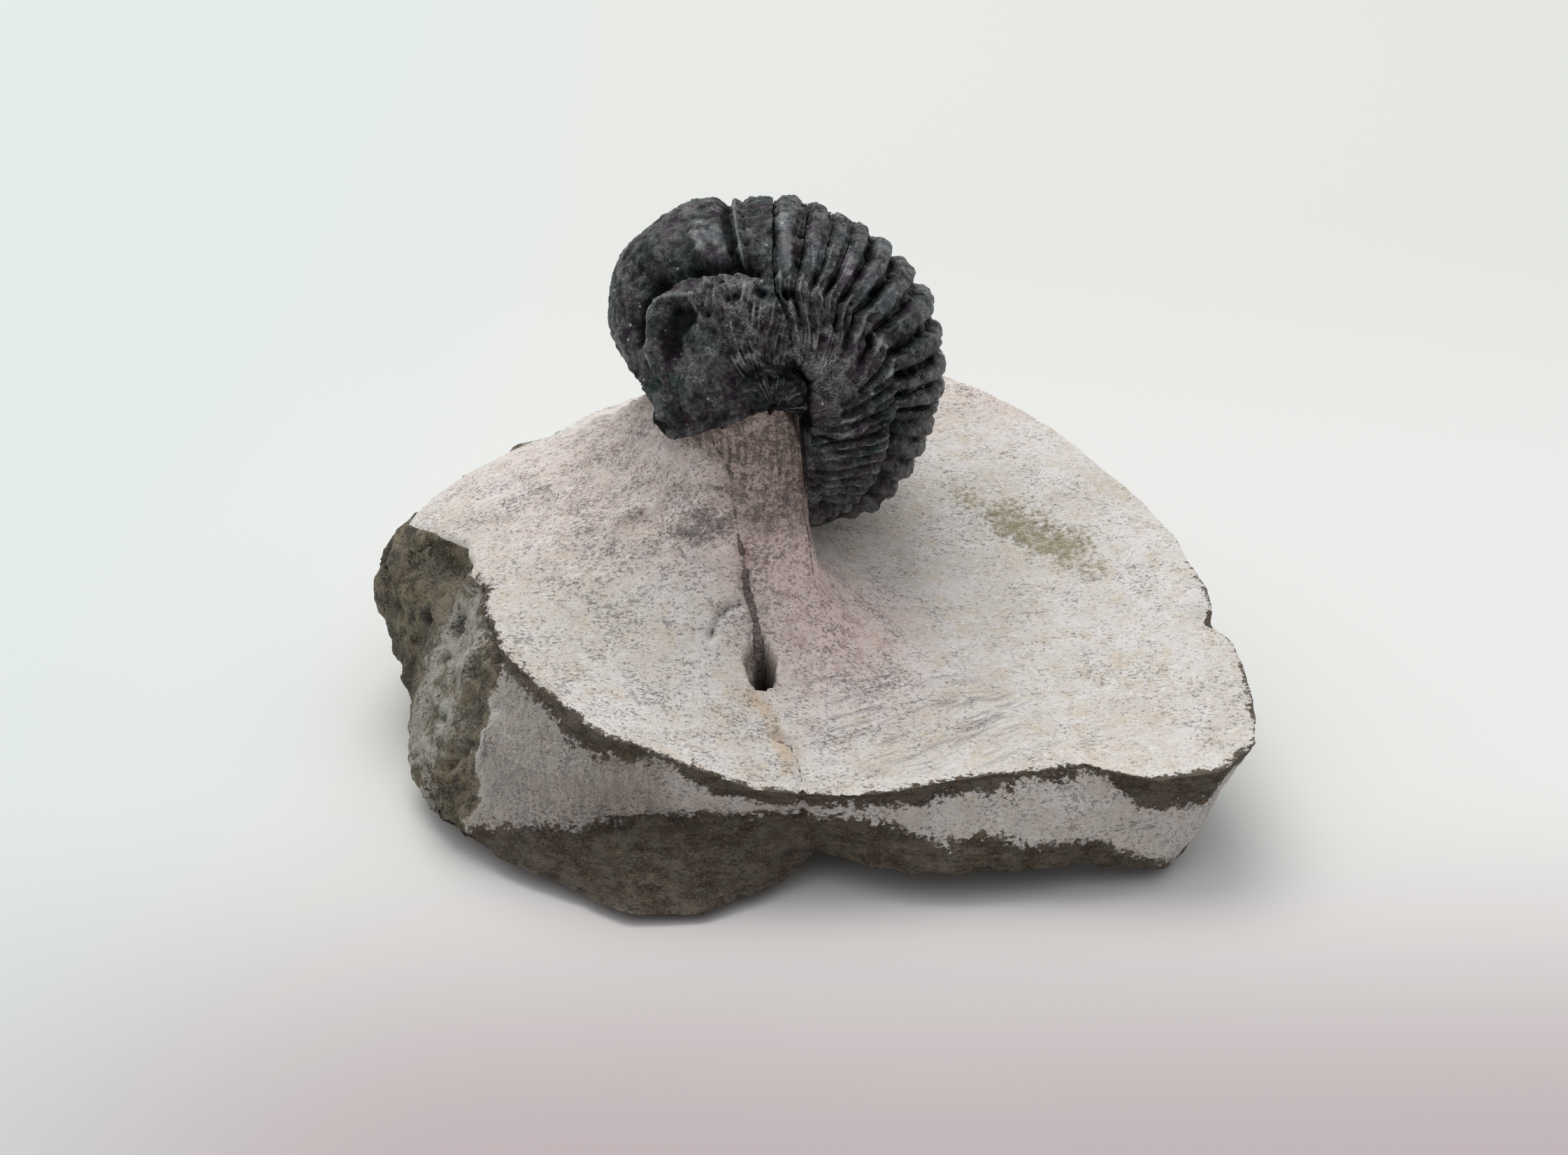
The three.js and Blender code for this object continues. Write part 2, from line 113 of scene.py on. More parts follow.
# The block, by azimuth in degrees about the pedestal's axis: azimuth, radius, height.
PEDESTAL = np.array([-1.9, 1.82])
RIM = [(-176, 12.3, 7.5), (-168, 11.4, 8.0), (-160, 10.4, 8.0), (-145, 10.9, 7.7), (-131, 12.5, 7.0),
       (-117, 13.0, 6.0), (-110, 13.4, 5.5), (-101, 13.1, 4.9), (-88, 13.6, 4.0), (-74, 14.1, 3.8),
       (-63, 14.6, 4.0), (-56, 15.4, 4.2), (-48, 17.0, 4.5), (-44, 19.0, 4.2), (-39, 20.5, 4.4),
       (-34, 20.8, 4.7), (-26, 19.3, 5.3), (-14, 17.0, 6.2), (-3, 15.8, 6.8), (12, 14.2, 7.5),
       (24, 13.4, 8.0), (36, 13.1, 8.3), (52, 12.7, 8.6), (66, 12.1, 8.5), (86, 10.8, 8.0), (104, 11.3, 7.7),
       (122, 10.9, 7.4), (140, 10.0, 7.5), (157, 10.7, 7.5)]
WAIST = [(-175, 13.6, 4.8), (-166, 12.8, 3.3), (-158, 13.0, 2.0), (-145, 14.1, 1.2), (-135, 15.2, 1.0),
         (-129, 14.8, 1.6), (-115, 14.3, 1.9), (-107, 13.3, 2.3), (-96, 12.8, 2.5), (-82, 13.2, 2.9),
         (-73, 14.0, 2.8), (-64, 15.1, 2.1), (-56, 16.5, 2.2), (-49, 18.0, 2.2), (-43, 19.4, 1.1),
         (-38, 19.6, 1.4), (-30, 18.5, 2.0), (-14, 16.2, 2.5), (12, 13.6, 3.0), (40, 12.7, 3.2),
         (62, 12.4, 3.8), (80, 10.9, 2.8), (101, 11.5, 3.6), (120, 11.6, 2.6), (138, 10.7, 3.4),
         (160, 12.3, 3.8)]
FOOT = [(-175, 12.4, 0.8), (-158, 12.6, 0.7), (-145, 13.7, 0.6), (-135, 14.9, 0.5), (-127, 14.9, 0.8),
        (-111, 15.3, 0.45), (-104, 15.9, 0.4), (-95, 15.3, 0.4), (-84, 13.8, 0.5), (-79, 13.3, 1.3),
        (-72, 14.6, 1.2), (-65, 15.6, 1.2), (-50, 17.6, 1.1), (-42, 19.2, 0.6), (-38, 19.1, 0.4),
        (-30, 17.8, 0.5), (-14, 15.5, 0.5), (12, 13.0, 0.5), (40, 12.2, 0.7), (62, 11.6, 0.9),
        (80, 10.4, 0.5), (101, 10.6, 0.6), (120, 10.9, 0.5), (138, 9.8, 0.7), (160, 11.2, 0.6)]
BASE = [(-175, 11.6), (-158, 12.0), (-135, 13.2), (-111, 13.0), (-104, 13.2), (-95, 12.8), (-84, 11.6),
        (-78, 10.2), (-65, 11.0), (-50, 14.0), (-42, 17.4), (-34, 16.8), (-14, 14.6), (12, 12.2),
        (40, 11.2), (62, 10.4), (80, 9.8), (101, 9.7), (120, 10.2), (138, 8.9), (160, 10.3)]
PLATEAU = [(-180, 3.05), (-150, 3.6), (-125, 4.4), (-115, 4.75), (-97, 5.2), (-80, 5.3), (-68, 5.25)]
CROWN = [(-180, 11.6), (-140, 10.4), (-110, 8.6), (-85, 7.6), (-60, 7.3), (-30, 7.0), (0, 6.9), (60, 8.0),
         (90, 9.2), (120, 10.2), (150, 11.2)]
HOLLOW = [(-180, 0.7), (-140, 1.1), (-110, 1.4), (-60, 1.4), (0, 1.2), (60, 1.2), (110, 1.2), (150, 0.9)]
# The pedestal's foot runs out over FLARE. Below the tail only FOOT_SHARE of it does, and the rest runs out
# over TAIL_FLARE.
FLARE = 1.9
TAIL_FLARE = 0.07
FOOT_SHARE = 0.42
DISH_DEPTH = 0.6
FACE_BULGE = 0.7
TAIL_TURN = 68
CORE_RADIUS = 4.5
# The rock inside the coil stays CORE_GAP from the shell, and the pedestal's top HEAD_GAP from the head.
CORE_GAP = 0.15
HEAD_GAP = 0.04

# Marks on the block.
PIT = np.array([-1.32, -6.95])
CRACK = [(-3.0, -3.1, 12.8), (-2.65, -3.6, 12.4), (-2.3, -3.9, 11.9), (-2.3, -4.1, 11.3), (-2.2, -4.3, 10.7),
         (-2.1, -4.6, 9.9), (-1.85, -5.0, 9.2), (-1.8, -5.45, 8.3), (-1.55, -5.8, 7.7), (-1.4, -6.3, 7.0),
         (-1.3, -6.6, 6.6)]
SIDE_CRACK = [(-1.5, -5.7, 7.8), (-2.0, -5.75, 7.8), (-2.4, -5.85, 7.7), (-2.75, -6.05, 7.5),
              (-3.0, -6.55, 7.0)]
LOW_CRACK = [(-0.8, -9.35, 4.7), (-0.25, -9.55, 4.55), (0.0, -10.2, 4.35), (0.1, -11.3, 4.05),
             (0.1, -11.6, 2.9)]
# Small dark spots: their place and size.
DARK_SPOTS = [(-3.9, -4.2, 9.8, 0.35), (-2.8, -4.4, 10.2, 0.3), (-5.6, -3.1, 10.0, 0.25),
              (-3.0, -3.9, 11.3, 0.4), (-3.3, -10.9, 4.7, 0.25)]
OCHRE_LINE = [(-1.6, -7.9), (-1.1, -8.3), (-0.8, -9.0), (-0.4, -10.1), (-0.4, -10.8)]
OCHRE_CLOUD = [(-5.0, -7.0), (-1.6, -9.4)]
OLIVE_CORE = [(7.7, 3.1), (8.8, 2.0), (9.9, 1.1)]
OLIVE_STREAK = [(6.3, 4.2), (8.0, 2.9), (9.2, 1.6), (10.6, 0.0)]
SMUDGES = [[(-10.0, -4.0), (-7.8, -5.0), (-5.3, -6.5)], [(-9.0, -3.2), (-6.9, -3.7), (-3.4, -4.6)],
           [(-4.6, -6.2), (-3.3, -6.3)], [(-5.0, -3.6), (-3.9, -4.0), (-2.4, -4.4)]]
# Height below which the dark crust covers the face, by azimuth.
CRUST_TOP = [(-180, -1), (-130, 1.0), (-127, 1.5), (-122, 1.8), (-116, 2.0), (-107, 2.5), (-96, 2.7),
             (-84, 3.0), (-77, 2.9), (-69, 2.7), (-64, 2.0), (-59, 2.4), (-56, 2.0), (-49, 2.2), (-45, 1.3),
             (-40, 0.6), (-34, 2.2), (-20, 3.8), (0, 4.6), (40, 5.0), (80, 4.4), (120, 3.0), (150, -1)]
# How far the crust reaches below the rim, by azimuth.
RIM_CRUST = [(-180, 0), (-150, 0), (-145, 0.4), (-139, 0.15), (-133, 0.5), (-127, 0.5), (-121, 0.3),
             (-116, 0.9), (-111, 0.85), (-107, 0.3), (-101, 0.3), (-97, 0.75), (-88, 0.8), (-80, 0.6),
             (-70, 0.65), (-62, 0.6), (-57, 0.4), (-50, 0.35), (-47, 0.3), (-45, 1.2), (-40, 1.5),
             (-37, 0.6), (-30, 0.3), (-21, 0.2), (-18, 1.3), (-15, 0.15), (-6, 0), (150, 0)]

# Rows and columns of the grids. The block has more columns where the photo sees it.
HEAD_GRID = (310, 262)
SEGMENT_GRID = (300, 26)
TAIL_GRID = (250, 170)
CORE_GRID = (40, 64)
SEEN_COLUMNS = 345
HIDDEN_COLUMNS = 95
PLATEAU_ROWS = 6
DISH_ROWS = 122
FACE_ROWS = (28, 28, 20, 8)
FLOOR_ROWS = 5
# The dish's rows are measured out on TRIAL_ROWS, and eased over EASING columns to either side.
TRIAL_ROWS = 140
EASING = 9


def lerp(a, b, share):
    return a + (b - a) * share


def rise(x, low, high):
    """A smooth step from 0 at low to 1 at high."""
    share = np.clip((x - low) / (high - low), 0, 1)
    return share * share * (3 - 2 * share)


def fall(x, low, high):
    return 1 - rise(x, low, high)


def bell(x, width):
    return np.exp(-((x / width) ** 2))


def cosine(degrees):
    return np.cos(np.radians(degrees))


def length(spans):
    return np.linalg.norm(spans, axis=-1)


def keyed(keys, x, column=1, period=None, soften=0.0):
    """The value at x of a curve that runs straight between keys, its corners eased over soften."""
    table = np.array(keys, float)
    taps = ((-1, 1), (-0.5, 2), (0, 3), (0.5, 2), (1, 1)) if soften else ((0, 1),)
    total = sum(weight * np.interp(x + soften * step, table[:, 0], table[:, column], period=period)
                for step, weight in taps)
    return total / sum(weight for _, weight in taps)


def around(keys, azimuth, column=1):
    """The value of a curve that closes on itself after a whole turn."""
    return keyed(keys, azimuth, column, 360)


def noise(points, size, seed):
    """Smooth gradient noise, about -1 to 1, whose lumps are about size millimetres across."""
    place = points / size
    cell = np.floor(place)
    share = place - cell
    fade = share ** 3 * (share * (share * 6 - 15) + 10)
    total = np.zeros(points.shape[:-1])
    for corner in itertools.product((0, 1), repeat=3):
        key = (cell + corner).astype(np.int64).astype(np.uint32)
        code = (key * MIXERS).sum(-1, dtype=np.uint32) + np.uint32(seed * 3266489917 % 2 ** 32)
        for shift, mixer in ((13, 1274126177), (16, 2654435761)):
            code = (code ^ (code >> np.uint32(shift))) * np.uint32(mixer)
        parts = np.stack([(code >> np.uint32(shift)) & np.uint32(1023) for shift in (0, 11, 22)], -1)
        slope = parts / 511.5 - 1
        weight = np.prod(np.where(corner, fade, 1 - fade), axis=-1)
        total += weight * ((share - corner) * slope).sum(-1)
    return total * 1.2


def fractal(points, size, seed, octaves=4, gain=0.5):
    """Noise of several sizes, each half of the one before."""
    total = sum(gain ** k * noise(points, size / 2 ** k, seed + k) for k in range(octaves))
    return total / sum(gain ** k for k in range(octaves)) * 1.4


def path_distance(points, path):
    """Distance of each point to a chain of straight pieces."""
    nearest = np.full(points.shape[:-1], np.inf)
    for start, end in zip(np.array(path[:-1], float), np.array(path[1:], float)):
        span = end - start
        along = np.clip(((points - start) @ span) / max(span @ span, 1e-9), 0, 1)
        nearest = np.minimum(nearest, length(points - start - along[..., None] * span))
    return nearest


def coil_point(theta, phi, radius=SIDE_RADIUS):
    theta, phi = np.radians(theta), np.radians(phi)
    return (COIL_CENTRE + (radius * np.cos(phi) * np.cos(theta))[..., None] * FORWARD
            + (radius * np.cos(phi) * np.sin(theta))[..., None] * UPWARD
            + (radius * np.sin(phi))[..., None] * SIDEWAYS)


def shell_radius(theta, phi):
    """Outer radius of the shell: a raised axis, furrows beside it, rounded flanks and a flat front border."""
    side = np.abs(phi)
    half = keyed(AXIS_HALF, theta, soften=5)
    crest = keyed(CREST, theta, soften=2.5)
    furrow = np.minimum(crest, SIDE_RADIUS) - FURROW_DEPTH
    axis = lerp(crest, furrow, np.minimum(1, side / half) ** 3)
    flank = lerp(furrow, SIDE_RADIUS, rise(side, half, half + SHOULDER))
    border = np.minimum(SIDE_RADIUS, crest / cosine(phi))
    return lerp(np.where(side < half, axis, flank), border, rise(theta, BORDER_START, BORDER_END))


def inner_radius(theta, phi):
    return np.minimum(INNER_RADIUS, shell_radius(theta, phi) - PLATE)


def plate_edge(index, phi):
    """The line between one segment and the next, counted from the head, with a little natural wander."""
    side = np.abs(phi)
    share = index / SEGMENTS
    beyond = np.maximum(0, side - lerp(*SWEEP_FROM, share) + 3)
    sweep = lerp(*SWEEP, share) * beyond ** 2 / (beyond + 4)
    line = np.stack([phi / 14, np.full_like(phi, index * 3.7), np.zeros_like(phi)], -1)
    wander = 0.8 * noise(line, 1, 5) + 0.45 * noise(line, 0.35, 6)
    return lerp(*EDGES[index], rise(side, FLANK_STARTS - 2, FLANK_ENDS + 6)) - sweep + wander


def seam(phi):
    """Half the gap between two plates, in degrees, which narrows down the flanks."""
    gap = lerp(SEAM, SEAM / 4, rise(np.abs(phi), 44, 60))
    return np.degrees(gap / (SIDE_RADIUS * cosine(phi)))


def plate_side(index, side):
    """A function of phi for a plate's edge beside a line: side 1 for the plate before it, -1 for the next."""
    return lambda phi: plate_edge(index, phi) + side * seam(phi)


def head_rear(phi):
    """The head's back edge: against the thorax, then down the cheek's margin, then under the chin."""
    side = np.abs(phi)
    reach = SIDE_RADIUS * cosine(phi)
    margin = np.degrees(np.arccos(np.minimum(1, (TAIL_MARGIN - SEAM) / reach)))
    cheek = lerp(margin, 180 - HEAD_FRONT, rise(side, 78.9, 80.6))
    return lerp(plate_side(0, 1)(phi), cheek, rise(side, 76, 77.5))


def underside(along):
    """Height of the head's underside against the coil's middle, by the distance along the coil's plane."""
    return HEAD_RISE * rise(-along, RISE_START, RISE_END) - HEAD_SLOPE * np.abs(along)


def head_front(phi):
    """Angle at which the head's front ends on its underside."""
    low = np.full_like(phi, BORDER_END + 2)
    high = np.full_like(phi, HEAD_FRONT)
    for _ in range(20):
        theta = (low + high) / 2
        reach = shell_radius(theta, phi) * cosine(phi)
        above = reach * np.sin(np.radians(theta)) > underside(reach * cosine(theta))
        low = np.where(above, theta, low)
        high = np.where(above, high, theta)
    return low


def seen(points):
    """Place of points across the view from the front: how far to the right, and how far up."""
    return np.stack([points[..., 0], points[..., 2] * math.cos(VIEW_ELEVATION)
                     + points[..., 1] * math.sin(VIEW_ELEVATION)], -1)


def distances(theta, side):
    """A function of a path over the shell, which gives each place's distance to it in millimetres."""
    spot = coil_point(theta, side)
    return lambda *path: path_distance(spot, coil_point(*np.array(path, float).T))


def streaks(theta, phi, across, along, lean, seed):
    """Noise drawn out down the flanks, in strands of the given width and length in millimetres."""
    turned = (theta + lean * np.abs(phi)) * ARC * 0.6
    return noise(np.stack([turned / across, phi * ARC / along, 0 * theta], -1), 1, seed)


def head_relief(theta, phi, start, end):
    """Height added to the head's plain form, with its masks."""
    def line(angle, width, shift=0.0):
        return bell((theta - angle) * ARC + shift, width)

    side = np.abs(phi)
    near = distances(theta, side)
    spot = coil_point(theta, phi)
    half = keyed(AXIS_HALF, theta, soften=5)
    glabella = rise(half - side, 0, 5) * rise(theta, 106, 111) * fall(theta, 174, 180)
    wobble = 0.16 * fractal(spot, 1.0, 10, 3)
    groove = (side - half) * ARC
    depth = lerp(0.26, 0.55, rise(theta, 132, 150))
    furrow = -depth * bell(groove + wobble, 0.28) * rise(theta, 92, 99) * fall(theta, 172, 180)
    middle = fall(side, half - 4, half + 3)
    ring = 0.12 * line(96, 0.5) + 0.07 * line(103.6, 0.08) - 0.3 * line(106.5, 0.2, wobble)
    ring = (ring - 0.12 * line(101.2, 0.1, wobble / 2)) * middle
    rim = near((128, 43), (135, 38), (144, 31), (151, 33), (158, 37), (166, 42), (177, 45), (190, 48))
    rim_fade = 1 - 0.8 * rise(theta, 166, 186)
    ridge = 0.34 * bell(rim + 0.5 * wobble, 0.28) * rim_fade
    hollow = -0.27 * bell(near((138, 46), (147, 45), (156, 50)), 0.66)
    lobe = 0.22 * bell(near((158, 62), (150, 66)), 1.2)
    slit = near((128, 52), (133, 60), (132, 68), (150, 74), (172, 77)) + 0.8 * wobble
    slit = -0.14 * bell(slit, 0.16)
    thread = near((117, 71.6), (104, 76.3), (88, 80)) + 0.5 * wobble
    lower = near((171, 75.8), (148, 81.3), (100, 84.5)) + 0.5 * wobble
    seams = 0.06 * bell(thread, 0.07) - 0.12 * bell(thread - 0.16, 0.09) - 0.05 * bell(lower, 0.1)
    lip = (end - theta) * ARC
    border = rise(side, 30, 50) * (0.03 * bell(lip - 0.3, 0.25) - 0.05 * bell(lip - 0.9, 0.3))
    behind = rise(theta, 96, 101) * fall(theta, 122, 142)
    facet = bell(near((110, 64), (98, 67), (90, 69)), 0.5)
    rough = behind * rise(side, half - 1, half + 4) * fall(side, 58, 68) * (1 - facet)
    broken = rise(fractal(spot, 2.4, 61), 0.0, 0.35) * rise(side, 48, 60) * fall(theta, 150, 175)
    torn = np.clip(rough + 0.8 * broken + rise(side + 8 * wobble, 66, 74) * fall(theta, 120, 150), 0, 1)
    strand = streaks(theta, phi, 0.17, 1.1, -0.45, 15)
    grain = noise(spot, 0.3, 11)
    ridged = 0.5 - np.abs(fractal(spot, 0.9, 17, 4))
    back = (theta - start) * ARC * cosine(phi)
    height = furrow + ring + ridge + hollow + lobe + slit + seams + border
    height -= 0.1 * bell(back, 0.13) * rise(side, 55, 70)
    smooth = bell(near((141, 45), (150, 52)), 0.7)
    smooth = 1 - np.maximum(0.7 * smooth, 0.35 * glabella)
    height += smooth * (0.08 * grain + 0.06 * noise(spot, 0.15, 12) + 0.3 * fractal(spot, 0.9, 13, 4, 0.65))
    height += torn * (0.2 * fractal(spot, 0.5, 14, 4, 0.6) + 0.21 * strand + 0.26 * ridged)
    height -= 0.12 * torn * rise(fractal(spot, 0.8, 16, 4), 0.2, 0.6)
    for pit in ([(97, 51), (95, 51)], [(113, 50), (111.5, 51)]):
        height -= 0.28 * bell(near(*pit) + 0.9 * wobble, 0.17)
    pale = 0.55 * bell(rim, 0.1) * rim_fade + 0.6 * line(103.6, 0.06) * middle
    pale += 0.5 * bell(thread, 0.05) + 0.3 * bell(lower - 0.1, 0.06)
    pale += 0.5 * bell(groove - 0.35, 0.12) * behind
    pale += 0.8 * torn * rise(strand, 0.15, 0.5) + 0.25 * glabella * rise(grain, 0.3, 0.6)
    pale += 0.7 * bell(near((120, 18), (113, 30)), 0.5) * rise(grain, -0.1, 0.3)
    worn = bell(near((119, 15), (111, 31)), 0.75) + 0.8 * bell(near((103, 46), (95, 49)), 0.4)
    worn = np.clip(worn * rise(noise(spot, 0.5, 18), -0.3, 0.2), 0, 1) * (phi > 0)
    return height, {"pale": pale, "wear": worn, "torn": torn}


def segment_relief(index):
    """The relief of one thoracic segment: a bar across the axis, and two narrow ribs down each flank."""
    def relief(theta, phi, start, end):
        side = np.abs(phi)
        near = distances(theta, side)
        share = (start - theta) / (start - end)
        width = (start - end) * ARC * cosine(phi)
        spot = coil_point(theta, phi)
        half = keyed(AXIS_HALF, theta, soften=5)
        on_axis = fall(side, half - 3, half + 4)
        wobble = fractal(spot, 0.9, 40, 3)
        place = share + 0.09 * wobble
        bar = rise(place, 0.0, 0.25) * fall(place, 0.6, 0.9)
        ribs = lerp(bell(place - 0.27, 0.15) + 0.8 * bell(place - 0.72, 0.15), bell(place - 0.45, 0.24),
                    rise(side, 51, 59))
        reach = np.minimum(1, width / 0.6)
        broken = near((72, 79), (56, 74), (36, 68), (20, 68), (10, 74), (4, 79))
        broken = fall(broken + 0.5 * fractal(spot, 1.2, 43, 3), 0.5, 1.15)
        patchy = 0.75 + 0.5 * fractal(spot, 1.6, 44, 2)
        knuckle = 0.2 * bell(side - half - 6 + 3 * wobble, 4) * bell(place - 0.45, 0.3)
        tall = lerp(0.25, 0.4, fall(theta, 40, 70)) * (0.85 + 0.7 * fractal(spot, 1.5, 48, 3))
        profile = lerp((0.42 * ribs - 0.22) * patchy, tall * (bar - 0.5), on_axis)
        profile *= reach * (1 - 0.85 * broken)
        torn = broken + rise(fractal(spot, 1.5, 41, 3), 0.1, 0.5) * (1 - on_axis)
        torn = np.clip(torn + 0.6 * rise(side + 6 * wobble, 58, 66), 0, 1)
        gap = on_axis * (1 - bar)
        worn = sum(fall(near(*path), 0.1, 0.34) for path in WORN_BARS) * (phi > 0)
        worn += rise(fractal(spot, 3.0, 70, 2), 0.1, 0.5) * on_axis * bar * (phi < 15)
        worn = np.clip(worn * (0.9 + 0.8 * wobble), 0, 1)
        strand = streaks(theta, phi, 0.16, 0.9, 1.0, 46)
        height = profile + knuckle + 0.015 * strand * (1 - on_axis)
        height += (0.13 * fractal(spot, 0.8, 21, 4, 0.6) + 0.06 * noise(spot, 0.2, 31)) * (1 - 0.75 * worn)
        height += 0.24 * gap * fractal(spot, 0.4, 47, 3)
        ridged = 0.5 - np.abs(fractal(spot, 0.9, 17, 4))
        height += torn * (0.22 * fractal(spot, 0.55, 42, 4, 0.6) + 0.3 * ridged - 0.05)
        for pit in ([(84, 51), (82.5, 51)], [(32, 48), (30.5, 49)]):
            height -= 0.34 * bell(near(*pit) + 0.3 * wobble, 0.19)
        height -= 0.3 * rise(side, RIB_TIPS[index] - 2.5, RIB_TIPS[index] + 1)
        crest = lerp(rise(ribs, 0.6, 0.95), 0.6 * bell(place - 0.2, 0.05) + 0.4 * bar, on_axis)
        pale = 0.45 * crest * patchy + 0.5 * (1 - on_axis) * rise(strand, 0.1, 0.5)
        pale += 0.5 * bell(side - half - 3, 2.0) * rise(wobble, -0.1, 0.4)
        pale += 0.3 * torn * rise(strand, 0.2, 0.6)
        pale *= 1 - 0.3 * rise(-theta, -30, 10)
        return height, {"pale": pale, "wear": worn, "torn": torn}
    return relief


def tail_relief(theta, phi, start, end):
    """The tail plate: fading rings on its axis, and fine ribs that run out and back to the margin."""
    side = np.abs(phi)
    spot = coil_point(theta, phi)
    half = keyed(AXIS_HALF, theta, soften=5)
    on_axis = fall(side, half - 2, half + 2)
    wobble = fractal(spot, 1.6, 81, 3)
    rings = np.interp(-theta, (8, 16.5, 24, 33, 42.5, 51, 59, 67, 76), np.arange(9) + 0.5) + 0.08 * wobble
    ring = np.cos(2 * np.pi * rings) * 0.12 * (1 - 0.6 * rise(-theta, 45, 78))
    out = np.maximum(0, side - half)
    beat = (theta + 0.1 * out + 0.012 * out ** 2 + 1.6 * wobble) / 5.4
    rib = 0.1 * np.sin(2 * np.pi * beat) + 0.03 * np.sin(4 * np.pi * beat + 1.3)
    rib *= rise(out, 1, 6) * fall(side, 68, 75) * (0.7 + 0.6 * fractal(spot, 1.3, 82, 2))
    furrow = -0.2 * bell((side - half) * ARC, 0.2) * fall(-theta, 62, 76)
    edge = (theta - end) * ARC
    margin = 0.05 * bell(edge - 0.35, 0.25) - 0.06 * bell(edge - 0.8, 0.25)
    front = -0.08 * bell((start - theta) * ARC * cosine(phi), 0.12)
    strands = np.stack([beat * 5.4 * ARC / 0.15, out * ARC / 0.9, np.zeros_like(theta)], -1)
    strand = noise(strands, 1, 84)
    height = lerp(rib, ring, on_axis) + furrow + margin + front
    height += 0.04 * noise(spot, 0.16, 83) + 0.04 * strand + 0.16 * fractal(spot, 0.9, 85, 4, 0.6)
    pale = rise(strand + 0.5 * np.sin(2 * np.pi * beat), 0.2, 0.8) * (1 - on_axis) * 0.45
    pale += 0.15 * on_axis * rise(np.cos(2 * np.pi * rings), 0.5, 1)
    pale *= 1 - 0.6 * rise(-theta, 50, 76)
    return height, {"pale": pale, "wear": np.zeros_like(pale), "torn": np.zeros_like(pale)}


def quads(rows, columns):
    """Corner numbers of the squares between the rows of a grid whose last column joins its first."""
    row, column = np.meshgrid(np.arange(rows - 1), np.arange(columns), indexing="ij")
    here = row * columns + column
    right = row * columns + (column + 1) % columns
    return np.stack([here, right, right + columns, here + columns], -1).reshape(-1, 4).tolist()


def closed_grid(rows, columns):
    """The squares, with a fan at either end to the two corners that come after the grid."""
    count = rows * columns
    faces = quads(rows, columns)
    faces += [(count, (i + 1) % columns, i) for i in range(columns)]
    bottom = count - columns
    return faces + [(count + 1, bottom + i, bottom + (i + 1) % columns) for i in range(columns)]


def strip(left, right):
    """Triangles between two chains of corner numbers of different lengths."""
    faces = []
    i = j = 0
    while i < len(left) - 1 or j < len(right) - 1:
        ahead = (i + 1) / (len(left) - 1) <= (j + 1) / (len(right) - 1)
        if j == len(right) - 1 or (i < len(left) - 1 and ahead):
            faces.append((left[i], left[i + 1], right[j]))
            i += 1
        else:
            faces.append((left[i], right[j + 1], right[j]))
            j += 1
    return faces


def outward(points, faces):
    """The faces, turned if needed so that the closed solid's normals point out."""
    volume = 0.0
    for face in faces:
        for k in range(1, len(face) - 1):
            volume += points[face[0]] @ np.cross(points[face[k]], points[face[k + 1]])
    return faces if volume > 0 else [face[::-1] for face in faces]


def new_object(name, data):
    item = bpy.data.objects.new(name, data)
    bpy.context.collection.objects.link(item)
    return item


def new_piece(name, points, faces, masks, material, nodes, sharp=50):
    """A mesh piece in place of some nodes, with one number for each corner in every mask."""
    mesh = bpy.data.meshes.new(name)
    mesh.from_pydata((points * MM).tolist(), [], faces)
    mesh.polygons.foreach_set("use_smooth", [True] * len(mesh.polygons))
    mesh.set_sharp_from_angle(angle=math.radians(sharp))
    for mask, values in masks.items():
        layer = mesh.attributes.new(mask, "FLOAT", "POINT")
        layer.data.foreach_set("value", np.asarray(values, float).ravel())
    mesh.materials.append(material)
    piece = new_object(name, mesh)
    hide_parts(*nodes)
    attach(piece, "root")


def plate(name, tip, grid, start, end, relief, material, node):
    """A closed plate of the shell: a fine outer face and a plain inner one, between two edges."""
    rows, steps = grid
    phi = np.repeat(np.linspace(-tip, tip, rows)[:, None], steps + 1, axis=1)
    front, back = start(phi), end(phi)
    theta = lerp(front, back, np.linspace(0, 1, steps + 1)[None, :])
    height, masks = relief(theta, phi, front, back)
    outer = coil_point(theta, phi, shell_radius(theta, phi) + height)
    inner_steps = max(2, steps // 14)
    phi_in = phi[:, :inner_steps + 1]
    theta_in = lerp(back[:, :1], front[:, :1], np.linspace(0, 1, inner_steps + 1)[None, :])
    inner = coil_point(theta_in, phi_in, inner_radius(theta_in, phi_in))
    points = np.concatenate([outer, inner], axis=1)
    count = points.shape[1]
    faces = quads(rows, count)
    for row, turn in ((0, -1), (rows - 1, 1)):
        numbers = list(range(row * count, (row + 1) * count))
        faces += [face[::turn] for face in strip(numbers[:steps + 1], numbers[steps + 1:][::-1])]
    under = np.zeros_like(theta_in)
    masks["relief"] = height
    masks = {key: np.concatenate([np.clip(values, -1, 1), under], axis=1) for key, values in masks.items()}
    flat = points.reshape(-1, 3)
    new_piece(name, flat, outward(flat, faces), masks, material, [node])


def plan_point(azimuth, radius):
    turn = np.radians(azimuth)
    return np.stack([PEDESTAL[0] + radius * np.cos(turn), PEDESTAL[1] + radius * np.sin(turn)], -1)


def plateau_radius(azimuth):
    side = -np.abs(azimuth)
    flat = (COIL_CENTRE[0] + TAIL_MARGIN - SEAM - PEDESTAL[0]) / cosine(np.maximum(side, -TAIL_TURN))
    return np.where(side > -TAIL_TURN, flat, keyed(PLATEAU, side))


def under_head(x, y):
    """Height of the rock where it meets the underside of the head."""
    along = underside(x - COIL_CENTRE[0]) - HEAD_GAP
    across = (along * math.sin(LEAN) - (y - COIL_CENTRE[1])) / math.cos(LEAN)
    return COIL_CENTRE[2] + along * math.cos(LEAN) + across * math.sin(LEAN)


